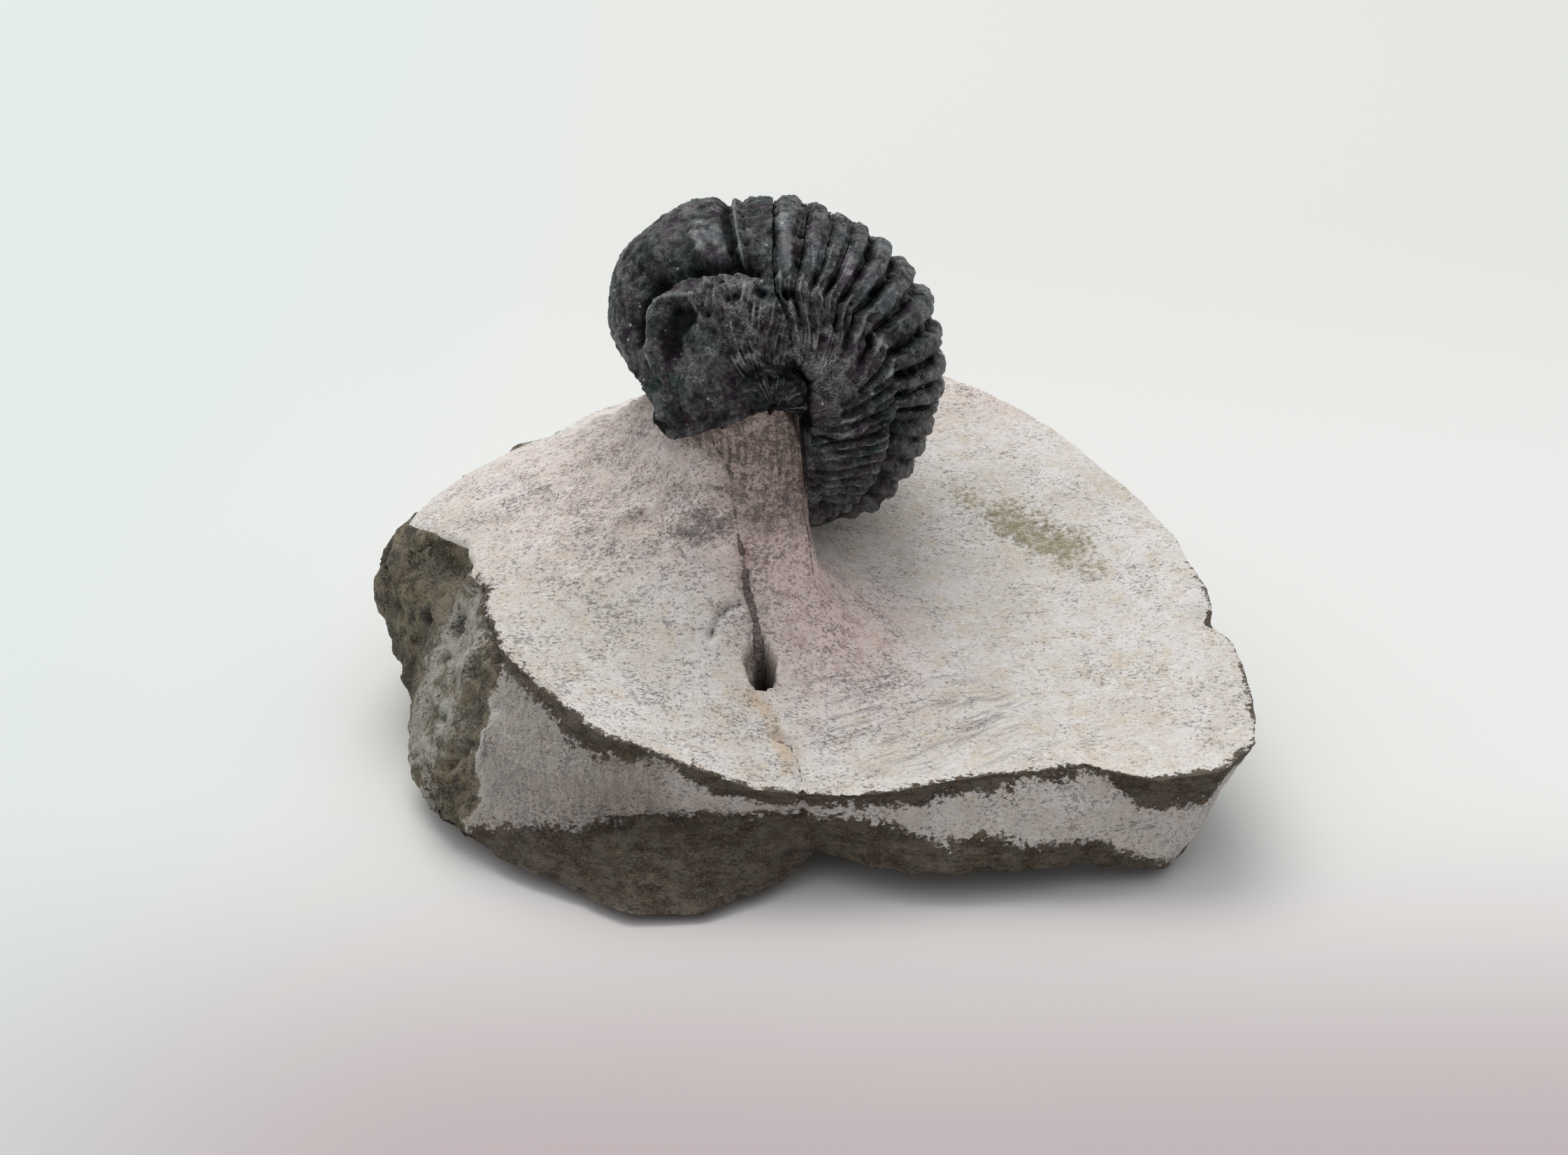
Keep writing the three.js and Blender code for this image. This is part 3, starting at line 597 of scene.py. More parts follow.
def under_tail(y):
    """Height of the rock where it meets the edge of the tail plate."""
    across = (COIL_CENTRE[1] - y) / math.cos(LEAN)
    down = np.sqrt(np.maximum(0, SIDE_RADIUS ** 2 - TAIL_MARGIN ** 2 - across ** 2))
    return COIL_CENTRE[2] - down * math.cos(LEAN) + across * math.sin(LEAN)


def top_height(azimuth, radius):
    """The rock's top: the dish, and the foot of the pedestal flaring out of it."""
    rim = around(RIM, azimuth, 2)
    out = np.minimum(1, radius / around(RIM, azimuth))
    sag = DISH_DEPTH * np.sin(np.pi * out) * np.maximum(0, cosine(azimuth))
    dish = lerp(rim, around(CROWN, azimuth), (1 - out) ** around(HOLLOW, azimuth)) - sag
    turn = np.arange(-180, 180, 3.0)
    corner = plan_point(turn, plateau_radius(turn))
    height = np.where(np.abs(turn) < TAIL_TURN, under_tail(corner[:, 1]), under_head(*corner.T))
    eased = sum(np.roll(height, step) for step in (-2, -1, 0, 1, 2)) / 5
    spot = plan_point(azimuth, radius)
    ways, levels = [], []
    for i in range(len(turn)):
        j = (i + 1) % len(turn)
        span = corner[j] - corner[i]
        along = np.clip(((spot - corner[i]) @ span) / (span @ span), 0, 1)
        ways.append(spot - corner[i] - along[..., None] * span)
        levels.append(lerp(eased[i], eased[j], along))
    ways, levels = np.array(ways), np.array(levels)
    distance = length(ways)
    nearest = distance.min(axis=0)
    towards = np.abs(np.degrees(np.arctan2(ways[..., 1], ways[..., 0])))
    shares = lerp(FOOT_SHARE, 1, rise(towards, 20, 105))
    weight = np.exp((nearest - distance) / (0.08 + 0.2 * nearest))
    level = (weight * levels).sum(axis=0) / weight.sum(axis=0)
    share = (weight * shares).sum(axis=0) / weight.sum(axis=0)
    foot = share * np.exp(-nearest / FLARE) + (1 - share) * np.exp(-nearest / TAIL_FLARE)
    return dish + np.maximum(0, level - dish) * foot


def even_radii(azimuth, edge, rim):
    """Radii from the pedestal's edge out to the rim, at even steps along the rock's surface."""
    trial = lerp(edge, rim, np.linspace(0, 1, TRIAL_ROWS)[:, None] ** 2.5)
    steps = np.hypot(np.diff(trial, axis=0), np.diff(top_height(azimuth, trial), axis=0))
    travel = np.concatenate([0 * trial[:1], np.cumsum(steps, axis=0)])
    stops = np.linspace(0, 1, DISH_ROWS)
    even = np.stack([np.interp(stops * way[-1], way, radii) for way, radii in zip(travel.T, trial.T)], 1)
    share = (even - edge) / (rim - edge)
    share = sum(np.roll(share, step, axis=1) for step in range(-EASING, EASING + 1)) / (2 * EASING + 1)
    return lerp(edge, rim, share)


def block_grid():
    """The plain block as rings by azimuth, from the pedestal's top over the rim and down to the underside."""
    azimuth = np.concatenate([np.linspace(-190, 10, SEEN_COLUMNS, endpoint=False),
                              np.linspace(10, 170, HIDDEN_COLUMNS, endpoint=False)])
    wrapped = (azimuth + 180) % 360 - 180
    edge = plateau_radius(wrapped)
    inside = np.linspace(0.15, 1, PLATEAU_ROWS, endpoint=False)[:, None] * edge
    rim_r, rim_z = around(RIM, wrapped), around(RIM, wrapped, 2)
    chip = plan_point(wrapped, rim_r)
    chip = np.concatenate([chip, rim_z[:, None]], axis=1)
    bite = 0.16 * fractal(chip, 1.1, 90, 4)
    bite += 0.35 * bell(wrapped + 17.8, 1.8) - 0.12 * bell(wrapped + 13.5, 2)
    rim_r -= bite
    rim_z -= 0.5 * np.maximum(0, bite)
    dish_r = even_radii(wrapped, edge, rim_r)
    dish_share = (dish_r - edge) / (rim_r - edge)
    plateau = plan_point(wrapped, inside)
    plateau_z = under_head(plateau[..., 0], plateau[..., 1])
    dish_z = top_height(wrapped, dish_r)
    dish_z += (rim_z - around(RIM, wrapped, 2)) * rise(dish_share, 0.9, 1)
    waist_r, waist_z = around(WAIST, wrapped), around(WAIST, wrapped, 2)
    bulge = FACE_BULGE * np.maximum(0, -cosine(wrapped))
    stops = [(rim_r, rim_z), ((rim_r + waist_r) / 2 + bulge, (rim_z + waist_z) / 2), (waist_r, waist_z),
             (around(FOOT, wrapped), around(FOOT, wrapped, 2)), (around(BASE, wrapped), 0 * rim_z)]
    radii, heights = [inside, dish_r], [plateau_z, dish_z]
    for (r0, z0), (r1, z1), count in zip(stops, stops[1:], FACE_ROWS):
        share = np.linspace(0, 1, count + 1)[1:, None]
        radii.append(lerp(r0, r1, share))
        heights.append(lerp(z0, z1, share))
    sole = np.linspace(0.85, 0.12, FLOOR_ROWS)[:, None] * radii[-1][-1]
    radii.append(sole)
    heights.append(0 * sole)
    radius, height = np.concatenate(radii), np.concatenate(heights)
    plan = plan_point(wrapped[None, :], radius)
    faces = 1 + np.linspace(0, 1, sum(FACE_ROWS) + 1)[1:]
    beyond = np.concatenate([faces, np.full(FLOOR_ROWS, 3.0)])[:, None] + 0 * azimuth
    part = np.concatenate([0 * inside, np.minimum(dish_share, 1), beyond])
    return wrapped, radius, np.concatenate([plan, height[..., None]], -1), part


def block():
    """The limestone with its pedestal, broken faces, crust, pit and cracks, and the rock inside the coil."""
    azimuth, radius, spot, part = block_grid()
    azimuth = azimuth[None, :] + 0 * radius
    down = np.gradient(spot, axis=0)
    across = (np.roll(spot, -1, axis=1) - np.roll(spot, 1, axis=1)) / 2
    normal = np.cross(down, across)
    normal /= length(normal)[..., None] + 1e-9
    upper = part <= 1
    side = rise(part, 1.0, 1.03) * fall(part, 1.94, 2.0)
    top = rise(part, 0.0, 0.04) * fall(part, 0.985, 1.0) * upper
    plan = spot[..., :2]
    x, y, z = np.moveaxis(spot, -1, 0)
    astray = azimuth + 6 * fractal(spot, 1.8, 100, 4)
    left = np.maximum(rise(-astray, 127, 132), rise(azimuth, 100, 150)) * side
    hidden = rise(azimuth, -34, -24) * fall(azimuth, 130, 160) * side
    facet = rise(-azimuth, 98, 104) * fall(-astray, 127, 132) * side
    front = side * (1 - np.clip(left + hidden + facet, 0, 1))
    climb = rise(z, 7.3, 10.5) * top

    lumps = fractal(spot, 5.0, 101, 3)
    rugged = fractal(spot, 2.2, 102, 5, 0.55)
    ledges = np.abs(fractal(spot * (1, 1, 0.6), 2.6, 103, 5))
    fine = fractal(spot, 0.7, 104, 4, 0.6)
    pocks = rise(noise(spot, 0.9, 105) + 0.4 * noise(spot, 0.45, 106), 0.2, 0.5)
    marks = noise(spot / (0.22, 0.22, 2.2), 1, 107)
    turned = math.radians(26)
    comb = np.stack([(x * math.cos(turned) + y * math.sin(turned)) / 2.0,
                     (y * math.cos(turned) - x * math.sin(turned)) / 0.24,
                     0 * radius], -1)
    combed = noise(comb, 1, 108)
    tooled = length((plan - (4.2, -8.0)) / (5.2, 2.9))
    tooled = fall(tooled + 0.3 * lumps, 0.6, 1.1) * top

    height = top * (0.07 * fractal(spot, 3.2, 109, 3) + 0.03 * (1 - climb) * fine + 0.07 * combed * tooled)
    height += climb * (0.36 * fractal(spot, 1.1, 110, 3, 0.5) + 0.04)
    height += left * (0.5 * rugged + 0.4 * lumps - 0.55 * ledges + 0.14 * fine - 0.3 * pocks + 0.16)
    height += hidden * (0.35 * rugged + 0.3 * lumps - 0.35 * ledges + 0.09 * fine + 0.06)
    height += facet * (0.035 * marks + 0.08 * rugged + 0.03 * fine)
    height += front * (0.16 * rugged + 0.05 * fine + 0.03 * marks)
    below_crust = (around(CRUST_TOP, azimuth) - z + 0.2 * fractal(spot, 1.6, 111, 3)) * side
    height += rise(below_crust, -0.1, 0.2) * (0.16 * rugged - 0.12 * ledges)

    picture = seen(spot)
    paths = (CRACK, SIDE_CRACK, LOW_CRACK)
    main, branch, lower = (path_distance(picture, seen(np.array(path))) for path in paths)
    facing = rise(-azimuth, 20, 40) * fall(-azimuth, 125, 150)
    half_width = 0.005 + 0.1 * rise(-z, -10.6, -8.4)
    crack = main + 0.2 * fractal(spot, 0.5, 115, 3, 0.6) - half_width
    thin = np.minimum(branch, lower) + 0.05 * fine
    crack = np.where(facing > 0.5, np.minimum(crack, thin - 0.012), 9)
    height -= facing * (0.2 * bell(crack, 0.14) * rise(-z, -11, -9) + 0.04 * bell(thin, 0.07))
    ring = length((plan - PIT) / (0.6, 0.68)) + 0.22 * noise(spot, 0.5, 95)
    # The pit's deep slot; the limestone paints it near-black, as painted shade.
    slot = length((plan - PIT - (0.14, -0.02)) / (0.36, 0.62))
    slot += 0.2 * noise(spot, 0.35, 96)
    mouth = fall(ring, 0.8, 1.02) * top
    deep = fall(slot, 0.75, 1.1) * top
    finished = spot + height[..., None] * normal
    finished[..., 2] -= mouth * (0.4 + 0.15 * fine) + 1.9 * deep * mouth
    finished[..., 2] = np.maximum(finished[..., 2], 0)
    finished[part >= 2, 2] = 0

    band = around(RIM_CRUST, azimuth)
    below_rim = np.where(upper, 1.4 * (around(RIM, azimuth) - radius), around(RIM, azimuth, 2) - z)
    rim_crust = np.where(upper, 0.25, 0.85) * band - below_rim + 0.5 * fractal(spot, 1.3, 112, 5, 0.6)
    rim_crust = np.where((band > 0.02) & (part < 2), rim_crust, -1)
    crust = np.clip(np.maximum(rim_crust, np.where(side > 0.5, below_crust, -1)), -1, 1)
    line_x, _, line_z = np.array(CRACK[::-1]).T
    beside = rise(x - np.interp(z, line_z, line_x) + 1.6 * rugged, -1.4, 0.6)
    pedestal_side = rise(z + 1.2 * rugged, 8.8, 10.8) * upper * (0.3 + 0.7 * beside)
    # The pink round the pedestal's foot; its colour is also painted lighter there, as painted light in the
    # coil's shade.
    pink = bell(length((plan - (0.9, -4.4)) / (3.0, 3.2)), 1)
    pink = np.clip(pink + 0.6 * rise(z, 7.4, 9.5), 0, 1) * upper * (0.6 + 0.4 * beside)
    core = path_distance(plan, OLIVE_CORE) + 0.5 * rugged
    streak = path_distance(plan, OLIVE_STREAK) + 0.5 * lumps
    olive = np.maximum(1.15 * bell(core, 1.2), 0.75 * bell(streak, 0.8)) * top
    ochre = bell(path_distance(plan, OCHRE_LINE), 0.3) + 0.35 * bell(path_distance(plan, OCHRE_CLOUD), 1.4)
    smudge = 0.35 * rise(noise(spot / (3.0, 0.6, 0.4), 1, 113) + 0.5 * noise(spot, 0.5, 114), 0.1, 0.7)
    smudge *= rise(-x, 1.0, 3.0) * fall(-x, 9, 12)
    for path in SMUDGES:
        smudge += 0.65 * bell(path_distance(plan, path) + 0.3 * rugged, 0.32)
    for *place, size in DARK_SPOTS:
        away = length((picture - seen(np.array(place))) / (1.4, 0.8)) + 0.25 * rugged
        smudge += 0.9 * bell(away, 0.8 * size)
    stain = np.maximum(rise(-azimuth, 147, 156), rise(azimuth, 130, 165))
    stain = np.maximum(stain, bell(astray + 132, 5)) + 0.5 * rugged
    masks = {
        # facet: the tool-marked facet, plus painted shade on the front faces at a third of its strength
        "crust": crust, "rough": np.clip(left + 0.85 * hidden, 0, 1), "facet": facet + 0.35 * front,
        "pink": pink, "olive": olive, "ochre": np.clip(ochre, 0, 1) * top, "crack": np.clip(crack, -1, 1),
        "slot": deep, "pit": mouth, "smudge": np.clip(smudge, 0, 1.5) * top, "pedestal": pedestal_side,
        "relief": height, "tooled": tooled, "stain": stain, "calm": rise(x, -1, 8) * upper,
    }
    ends = [[*PEDESTAL, under_head(*PEDESTAL)], [*PEDESTAL, 0.0]]
    points = np.concatenate([finished.reshape(-1, 3), ends])
    faces = outward(points, closed_grid(*radius.shape))
    core, core_faces = ball(*CORE_GRID)
    faces += [[number + len(points) for number in face] for face in core_faces]
    extra = np.zeros(len(ends) + len(core))
    masks = {key: np.concatenate([values.ravel(), extra]) for key, values in masks.items()}
    masks["crack"][radius.size:] = 1
    masks["crust"][radius.size:] = -1
    points = np.concatenate([points, core])
    new_piece("limestone_matrix", points, faces, masks, limestone(), ["matrix"], 70)


def ball(rows, columns):
    """A closed ball of rock about the coil's middle, flattened where the shell comes close."""
    tilts, turns = np.linspace(-90, 90, rows + 1)[1:-1], np.linspace(0, 360, columns, endpoint=False)
    tilt, turn = np.meshgrid(tilts, turns, indexing="ij")
    theta = np.where(turn > 240, turn - 360, turn)
    radius = np.minimum(CORE_RADIUS, inner_radius(theta, tilt) - CORE_GAP)
    rings = coil_point(turn, tilt, radius).reshape(-1, 3)
    poles = coil_point(np.zeros(2), np.array([-90.0, 90.0]), CORE_RADIUS)
    points = np.concatenate([rings, poles])
    return points, outward(points - COIL_CENTRE, closed_grid(rows - 1, columns))


class Nodes:
    """A node tree, with short ways to add to it."""

    def __init__(self, tree):
        self.tree = tree

    def node(self, kind):
        return self.tree.nodes.new("ShaderNode" + kind)

    def link(self, socket, value):
        if hasattr(value, "is_output"):
            self.tree.links.new(socket, value)
        else:
            socket.default_value = value

    def math(self, operation, *terms):
        result = terms[0]
        for term in terms[1:]:
            node = self.node("Math")
            node.operation = operation
            self.link(node.inputs[0], result)
            self.link(node.inputs[1], term)
            result = node.outputs[0]
        return result

    def total(self, *terms):
        return self.math("ADD", *terms)

    def times(self, *terms):
        return self.math("MULTIPLY", *terms)

    def ramp(self, value, low, high, end=1.0, start=0.0):
        """A smooth step from start, where the value is low, to end, where it is high."""
        node = self.node("MapRange")
        node.interpolation_type = "SMOOTHSTEP"
        for k, number in enumerate((value, low, high, start, end)):
            self.link(node.inputs[k], number)
        return node.outputs[0]


class Surface(Nodes):
    """A procedural material, whose patterns are sized in millimetres."""

    def __init__(self, name):
        self.material = bpy.data.materials.new(name)
        self.material.use_nodes = True
        super().__init__(self.material.node_tree)
        self.shader = self.tree.nodes["Principled BSDF"]
        self.place = self.stretched(self.node("TexCoord").outputs["Object"], (1 / MM, 1 / MM, 1 / MM))

    def stretched(self, place, factors):
        node = self.node("VectorMath")
        node.operation = "MULTIPLY"
        self.link(node.inputs[0], place)
        self.link(node.inputs[1], factors)
        return node.outputs[0]

    def noise(self, scale, detail, roughness=0.55, stretch=None, distortion=0.0, turn=0.0):
        place = self.place
        if turn:
            mapping = self.node("Mapping")
            self.link(mapping.inputs["Rotation"], (0, 0, math.radians(turn)))
            self.link(mapping.inputs["Vector"], place)
            place = mapping.outputs["Vector"]
        if stretch:
            place = self.stretched(place, stretch)
        node = self.node("TexNoise")
        for name, value in (("Vector", place), ("Scale", scale), ("Detail", detail), ("Roughness", roughness),
                            ("Distortion", distortion)):
            self.link(node.inputs[name], value)
        return node.outputs["Fac"]

    def cells(self, scale):
        node = self.node("TexVoronoi")
        self.link(node.inputs["Vector"], self.place)
        self.link(node.inputs["Scale"], scale)
        return node.outputs["Distance"]

    def mask(self, name):
        node = self.node("Attribute")
        node.attribute_name = name
        return node.outputs["Fac"]

    def coat(self, colour, *layers):
        """The colour under some layers: each is its share, or the terms of ramp(), and then its colour."""
        for *share, layer in layers:
            node = self.node("Mix")
            node.data_type = "RGBA"
            self.link(node.inputs["Factor"], self.ramp(*share) if share[1:] else share[0])
            for socket, value in ((node.inputs[6], colour), (node.inputs[7], layer)):
                self.link(socket, (*value, 1) if isinstance(value, tuple) else value)
            colour = node.outputs[2]
        return colour

    def finish(self, colour, roughness, height, distance):
        bump = self.node("Bump")
        self.link(bump.inputs["Strength"], 1.0)
        self.link(bump.inputs["Distance"], distance * MM)
        self.link(bump.inputs["Height"], height)
        self.link(self.shader.inputs["Base Color"], colour)
        self.link(self.shader.inputs["Roughness"], roughness)
        self.link(self.shader.inputs["Normal"], bump.outputs["Normal"])
        return self.material


def limestone():
    """Pale speckled limestone with dark weathered crust, brown broken faces and a pinkish pedestal, with
    painted light and shade: painted shade on the tool-marked facet and the front faces, the pit's deep slot
    painted near-black as shade, and the pink round the pedestal's foot painted lighter where the coil's shade
    falls.
    """
    s = Surface("limestone")
    broad = s.noise(0.35, 4)
    middle = s.noise(1.3, 4, 0.6)
    crumbs = s.noise(3.6, 4, 0.7)
    fine = s.noise(8.0, 4, 0.75, (0.6, 1.0, 1.0))
    grit = s.noise(18.0, 3, 0.75, (0.75, 1.0, 1.0))
    flecks = s.noise(10.0, 3, 0.85, (0.6, 1.1, 1.0), 0.3)
    coarse = s.noise(3.2, 6, 0.8, (0.55, 1.1, 1.0), 0.4)
    clouds = s.noise(0.9, 5, 0.65, (0.5, 1.2, 1.0), 0.8)
    patches = s.noise(0.7, 3, 0.6, None, 0.6)
    combed = s.noise(1.0, 3, 0.6, (0.55, 4.6, 1.0), 0.0, -26)
    upright = s.noise(1.0, 4, 0.7, (5.5, 5.5, 0.8))
    layers = s.noise(1.0, 6, 0.72, (0.9, 0.9, 4.5), 0.6)
    rust = s.noise(2.1, 5, 0.7)
    ragged = s.total(s.times(crumbs, 0.9), s.times(fine, 0.6), -0.75)
    pink, facet, pedestal = s.mask("pink"), s.mask("facet"), s.mask("pedestal")

    def frayed(name, grain, low, high, end=1.0):
        """A ramp over a mask whose edge is broken up by the grain of the rock."""
        return s.ramp(s.total(s.mask(name), s.times(ragged, grain)), low, high, end)

    stained = s.total(s.times(s.total(pedestal, pink), 0.03), s.times(clouds, 0.2), s.times(patches, 0.3),
                      s.times(s.mask("calm"), -0.025), -0.25)
    specks = s.ramp(s.total(flecks, stained), 0.57, 0.65)
    brown = s.coat((0.19, 0.14, 0.115), (crumbs, 0.42, 0.58, (0.56, 0.44, 0.38)))
    # The facet's colour, darker than the clean rock: tool marks, and painted shade on the steep faces.
    drawn_and_shaded = s.coat(
        (0.18, 0.15, 0.128),
        (upright, 0.36, 0.66, (0.4, 0.35, 0.31)),
        (middle, 0.5, 0.62, 0.5, (0.24, 0.25, 0.24)),
        (crumbs, 0.52, 0.64, 0.5, (0.45, 0.335, 0.25)))
    clean = s.coat(
        (0.72, 0.67, 0.615),
        (broad, 0.38, 0.62, (0.82, 0.795, 0.77)),
        (middle, 0.45, 0.7, 0.7, (0.7, 0.59, 0.46)),
        (crumbs, 0.5, 0.68, 0.75, (0.9, 0.885, 0.865)),
        # pink, painted light to lift the coil's shade
        (s.times(pink, s.ramp(crumbs, 0.3, 0.6, 1.0, 0.65)), (0.92, 0.72, 0.685)),
        (s.times(pink, s.ramp(rust, 0.5, 0.62, 0.7)), (0.5, 0.33, 0.3)),
        (s.times(facet, 0.8), drawn_and_shaded),
        (frayed("ochre", 2.0, 0.3, 1.2, 0.6), (0.62, 0.43, 0.22)),
        (s.times(frayed("olive", 2.5, 0.3, 1.0), s.ramp(crumbs, 0.35, 0.6, 1.0, 0.55)), (0.31, 0.27, 0.165)),
        (frayed("pedestal", 0.8, 0.05, 0.85, 0.9), brown),
        (frayed("smudge", 4.0, 0.5, 1.3, 0.75), (0.17, 0.145, 0.15)),
        (fine, 0.52, 0.68, 0.5, (0.3, 0.275, 0.265)),
        (clouds, 0.56, 0.72, 0.4, (0.46, 0.42, 0.405)),
        (s.times(s.mask("tooled"), s.ramp(combed, 0.5, 0.62, 0.6)), (0.33, 0.3, 0.3)),
        (s.times(specks, 0.6), (0.135, 0.126, 0.13)),
        (s.total(coarse, stained), 0.6, 0.7, 0.45, (0.12, 0.107, 0.11)),
        (grit, 0.53, 0.7, 0.7, (0.85, 0.835, 0.815)))

    mud = s.coat((0.042, 0.033, 0.02), (middle, 0.42, 0.58, (0.17, 0.135, 0.078)))
    earth = s.coat(
        (0.1, 0.085, 0.058),
        (middle, 0.38, 0.56, (0.4, 0.39, 0.345)),
        (clouds, 0.5, 0.6, 0.8, (0.105, 0.083, 0.045)),
        (crumbs, 0.53, 0.63, 0.8, (0.23, 0.155, 0.07)),
        (broad, 0.49, 0.57, 0.7, (0.44, 0.43, 0.39)),
        (frayed("stain", 2.0, 0.2, 0.8, 0.85), mud),
        (s.mask("relief"), 0.0, -0.5, 0.85, (0.045, 0.036, 0.025)),
        (grit, 0.5, 0.66, 0.5, (0.4, 0.385, 0.34)),
        (specks, (0.05, 0.045, 0.035)))
    skin = s.coat(
        (0.07, 0.05, 0.036),
        (middle, 0.38, 0.62, (0.12, 0.103, 0.083)),
        (crumbs, 0.55, 0.66, 0.7, (0.19, 0.12, 0.065)),
        (layers, 0.5, 0.62, 0.7, (0.155, 0.13, 0.098)),
        (layers, 0.47, 0.36, 0.7, (0.038, 0.031, 0.026)),
        (grit, 0.52, 0.7, 0.5, (0.3, 0.27, 0.23)),
        (s.times(specks, 0.6), (0.035, 0.03, 0.025)))
    # The pit's colour: darker than the rock round it.
    pit_colour = s.coat((0.06, 0.047, 0.038), (fine, 0.42, 0.58, (0.27, 0.22, 0.175)))
    filled = s.coat((0.085, 0.07, 0.064), (fine, 0.4, 0.6, (0.27, 0.235, 0.21)))
    crust = frayed("crust", 1.7, -0.08, 0.1)
    line = frayed("crack", 0.12, 0.03, -0.02)
    colour = s.coat(
        clean,
        (frayed("rough", 0.6, 0.42, 0.58), earth),
        (crust, skin),
        (s.times(s.mask("pit"), 0.9), pit_colour),
        (s.times(line, 0.92), filled),
        # the deep slot painted near-black as shade
        (s.mask("slot"), (0.012, 0.01, 0.009)))

    height = s.total(s.times(fine, 0.6), s.times(grit, 0.4), s.times(crumbs, 0.7), s.times(specks, -0.4),
                     s.times(line, -0.8), s.times(upright, facet, 0.5), s.times(crumbs, pedestal),
                     s.times(layers, crust))
    s.link(s.shader.inputs["Specular IOR Level"], 0.3)
    return s.finish(colour, s.ramp(fine, 0.3, 0.7, 0.97, 0.85), height, 0.07)


def fossil_shell():
    """Near-black fossil shell with green, blue and purple tints, and dust on its torn places; worn bars with
    a painted blue-grey sheen, bright specks that are partly painted glints, raised places painted lighter as
    highlight and hollows painted near-black as shade.
    """
    s = Surface("fossil_shell")
    broad = s.noise(0.55, 3)
    tint = s.noise(0.8, 3, 0.5, (1.0, 1.3, 0.9))
    middle = s.noise(2.2, 7, 0.72)
    fine = s.noise(7.0, 4, 0.7)
    grit = s.noise(16.0, 3, 0.75)
    mottle = s.noise(4.5, 6, 0.72)
    pale, wear, torn, relief = (s.mask(name) for name in ("pale", "wear", "torn", "relief"))

    dusty = s.ramp(s.total(s.noise(1.1, 4, 0.65), s.times(torn, 0.03)), 0.5, 0.62)
    dust = s.total(s.times(s.math("MAXIMUM", pale, s.times(torn, 0.7)), 0.1), grit)
    settled = s.times(s.ramp(dust, 0.55, 0.63, 0.9), s.ramp(dusty, 0.0, 1.0, 1.0, 0.2))
    veil = s.ramp(s.total(s.times(pale, 0.8), fine), 0.66, 1.0)
    # The worn bars: smoothed shell, lightened to blue-grey as a painted sheen.
    worn = s.coat((0.052, 0.07, 0.08), (tint, 0.42, 0.56, (0.034, 0.022, 0.038)))
    # Hollows of the relief: painted near-black as shade, and given less shine.
    low = s.ramp(relief, -0.01, -0.22)
    colour = s.coat(
        (0.012, 0.014, 0.0135),
        (broad, 0.35, 0.65, (0.037, 0.041, 0.041)),
        (tint, 0.5, 0.62, 0.8, (0.05, 0.026, 0.045)),
        (tint, 0.47, 0.34, 0.8, (0.016, 0.044, 0.041)),
        # raised places painted lighter, a painted highlight
        (s.total(relief, s.times(mottle, 0.6)), 0.3, 0.6, 0.6, (0.115, 0.127, 0.132)),
        (middle, 0.53, 0.64, 0.4, (0.095, 0.105, 0.108)),
        (s.times(dusty, s.ramp(mottle, 0.52, 0.62, 0.7)), (0.14, 0.152, 0.156)),
        (mottle, 0.48, 0.4, 0.85, (0.006, 0.0065, 0.0065)),
        (s.times(torn, s.ramp(middle, 0.42, 0.6, 0.6, 0.1)), (0.075, 0.05, 0.068)),
        (s.times(veil, 0.8), (0.3, 0.32, 0.32)),
        (s.times(wear, s.ramp(fine, 0.3, 0.6, 0.85, 0.5)), worn),
        (settled, (0.33, 0.335, 0.34)),
        # tiny bright specks: grains of dust, also painted glints
        (s.cells(1.3), 0.085, 0.055, 0.9, (0.6, 0.59, 0.58)),
        # painted shade in the hollows
        (s.times(low, 0.85), (0.0045, 0.0045, 0.005)))

    height = s.total(s.times(fine, 0.8), s.times(grit, 0.5), s.times(mottle, 0.6))
    height = s.times(height, s.ramp(wear, 0.0, 1.0, 0.35, 1.0))
    roughness = s.ramp(s.total(fine, s.times(veil, 0.4)), 0.3, 1.0, 0.58, 0.22)
    roughness = s.total(roughness, s.times(wear, -0.1))
    gloss = s.times(s.ramp(middle, 0.42, 0.6, 1.0, 0.1), s.ramp(low, 0.0, 1.0, 0.1, 1.0))
    s.link(s.shader.inputs["Specular IOR Level"], s.total(gloss, s.times(wear, 0.3)))
    return s.finish(colour, roughness, height, 0.12)


def cephalon(material):
    plate("cephalon_shell", POLE, HEAD_GRID, head_rear, head_front, head_relief, material, "cephalon")


def thoracic_segment(index, material):
    number = f"{index + 1:02d}"
    plate(f"segment_{number}_shell", RIB_TIPS[index] + 0.6, SEGMENT_GRID, plate_side(index, -1),
          plate_side(index + 1, 1), segment_relief(index), material, f"thoracic_segment_{number}")


def pygidium(material):
    def margin(phi):
        return -np.degrees(np.arccos(np.minimum(1, TAIL_MARGIN / (SIDE_RADIUS * cosine(phi)))))

    plate("pygidium_shell", TAIL_TIP, TAIL_GRID, plate_side(SEGMENTS, -1), margin, tail_relief, material,
          "pygidium")


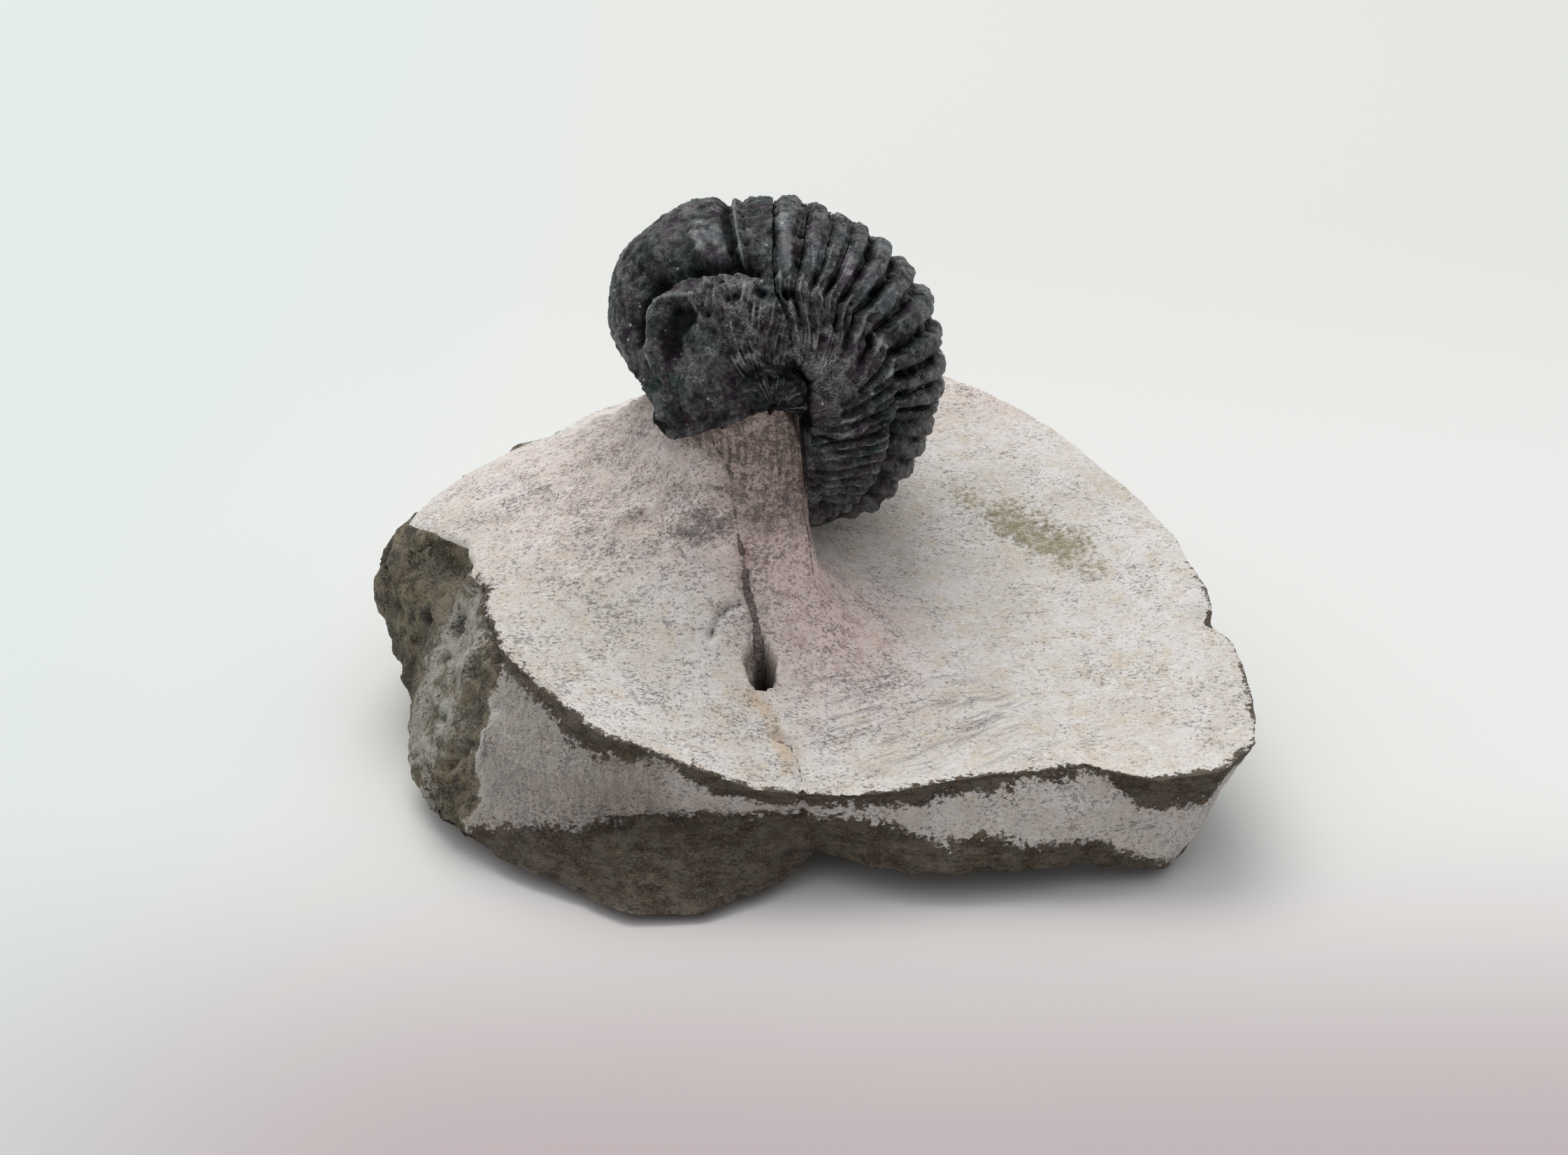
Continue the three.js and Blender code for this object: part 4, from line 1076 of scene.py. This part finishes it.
def camera():
    data = bpy.data.cameras.new("photo_view")
    data.lens = LENS
    data.sensor_width = SENSOR
    data.clip_start = 0.001
    item = new_object("photo_view", data)
    away = np.array([0.0, -math.cos(VIEW_ELEVATION), math.sin(VIEW_ELEVATION)])
    item.location = Vector((VIEW_TARGET + VIEW_DISTANCE * away) * MM)
    item.rotation_euler = (math.pi / 2 - VIEW_ELEVATION, 0, 0)
    bpy.context.scene.camera = item


def floor():
    """A pale board under the block, with painted light and shade: darker and pinker in front as painted
    shade, greener to the left as painted green light, and a little darker far behind.
    """
    s = Surface("pale_board")
    cloud = s.noise(0.02, 2)
    parts = s.node("SeparateXYZ")
    s.link(parts.inputs[0], s.place)
    across, away = (s.total(parts.outputs[axis], s.times(cloud, 6.0)) for axis in "XY")
    colour = s.coat(
        (0.77, 0.775, 0.755),
        (cloud, (0.8, 0.8, 0.785)),
        # a little darker far behind
        (away, 5.0, 60.0, (0.7, 0.715, 0.69)),
        # darker and pinker in front: painted shade before the block
        (away, -1.0, -23.0, (0.5, 0.43, 0.44)),
        # greener to the left: painted green light
        (across, -6.0, -28.0, 0.7, (0.66, 0.735, 0.71)))
    material = s.finish(colour, 0.8, s.noise(3.0, 2), 0.004)
    bpy.ops.mesh.primitive_plane_add(size=BOARD_SIZE, location=(0, 0, 0))
    board = bpy.context.object
    board.name = "board"
    board.data.materials.append(material)


def sky():
    """A bright sky above and behind, dim towards the camera."""
    bpy.context.scene.view_settings.view_transform = "Standard"
    world = bpy.data.worlds.new("studio")
    bpy.context.scene.world = world
    world.use_nodes = True
    s = Nodes(world.node_tree)
    aim = s.node("VectorMath")
    aim.operation = "DOT_PRODUCT"
    s.link(aim.inputs[0], s.node("TexCoord").outputs["Generated"])
    s.link(aim.inputs[1], SKY_DIRECTION)
    background = s.tree.nodes["Background"]
    s.link(background.inputs["Color"], (*SKY_COLOUR, 1))
    s.link(background.inputs["Strength"], s.ramp(aim.outputs["Value"], *SKY_RANGE))


def lamp():
    """A soft round lamp, high behind the block."""
    data = bpy.data.lights.new("lamp", "AREA")
    data.shape = "DISK"
    data.size = LAMP_SIZE
    data.energy = LAMP_POWER
    data.color = LAMP_COLOUR
    item = new_object("lamp", data)
    item.location = LAMP_PLACE
    item.rotation_euler = (Vector(LAMP_AIM) - Vector(LAMP_PLACE)).to_track_quat("-Z", "Y").to_euler()


camera()
block()
shell = fossil_shell()
cephalon(shell)
for segment in range(SEGMENTS):
    thoracic_segment(segment, shell)
pygidium(shell)
floor()
sky()
lamp()
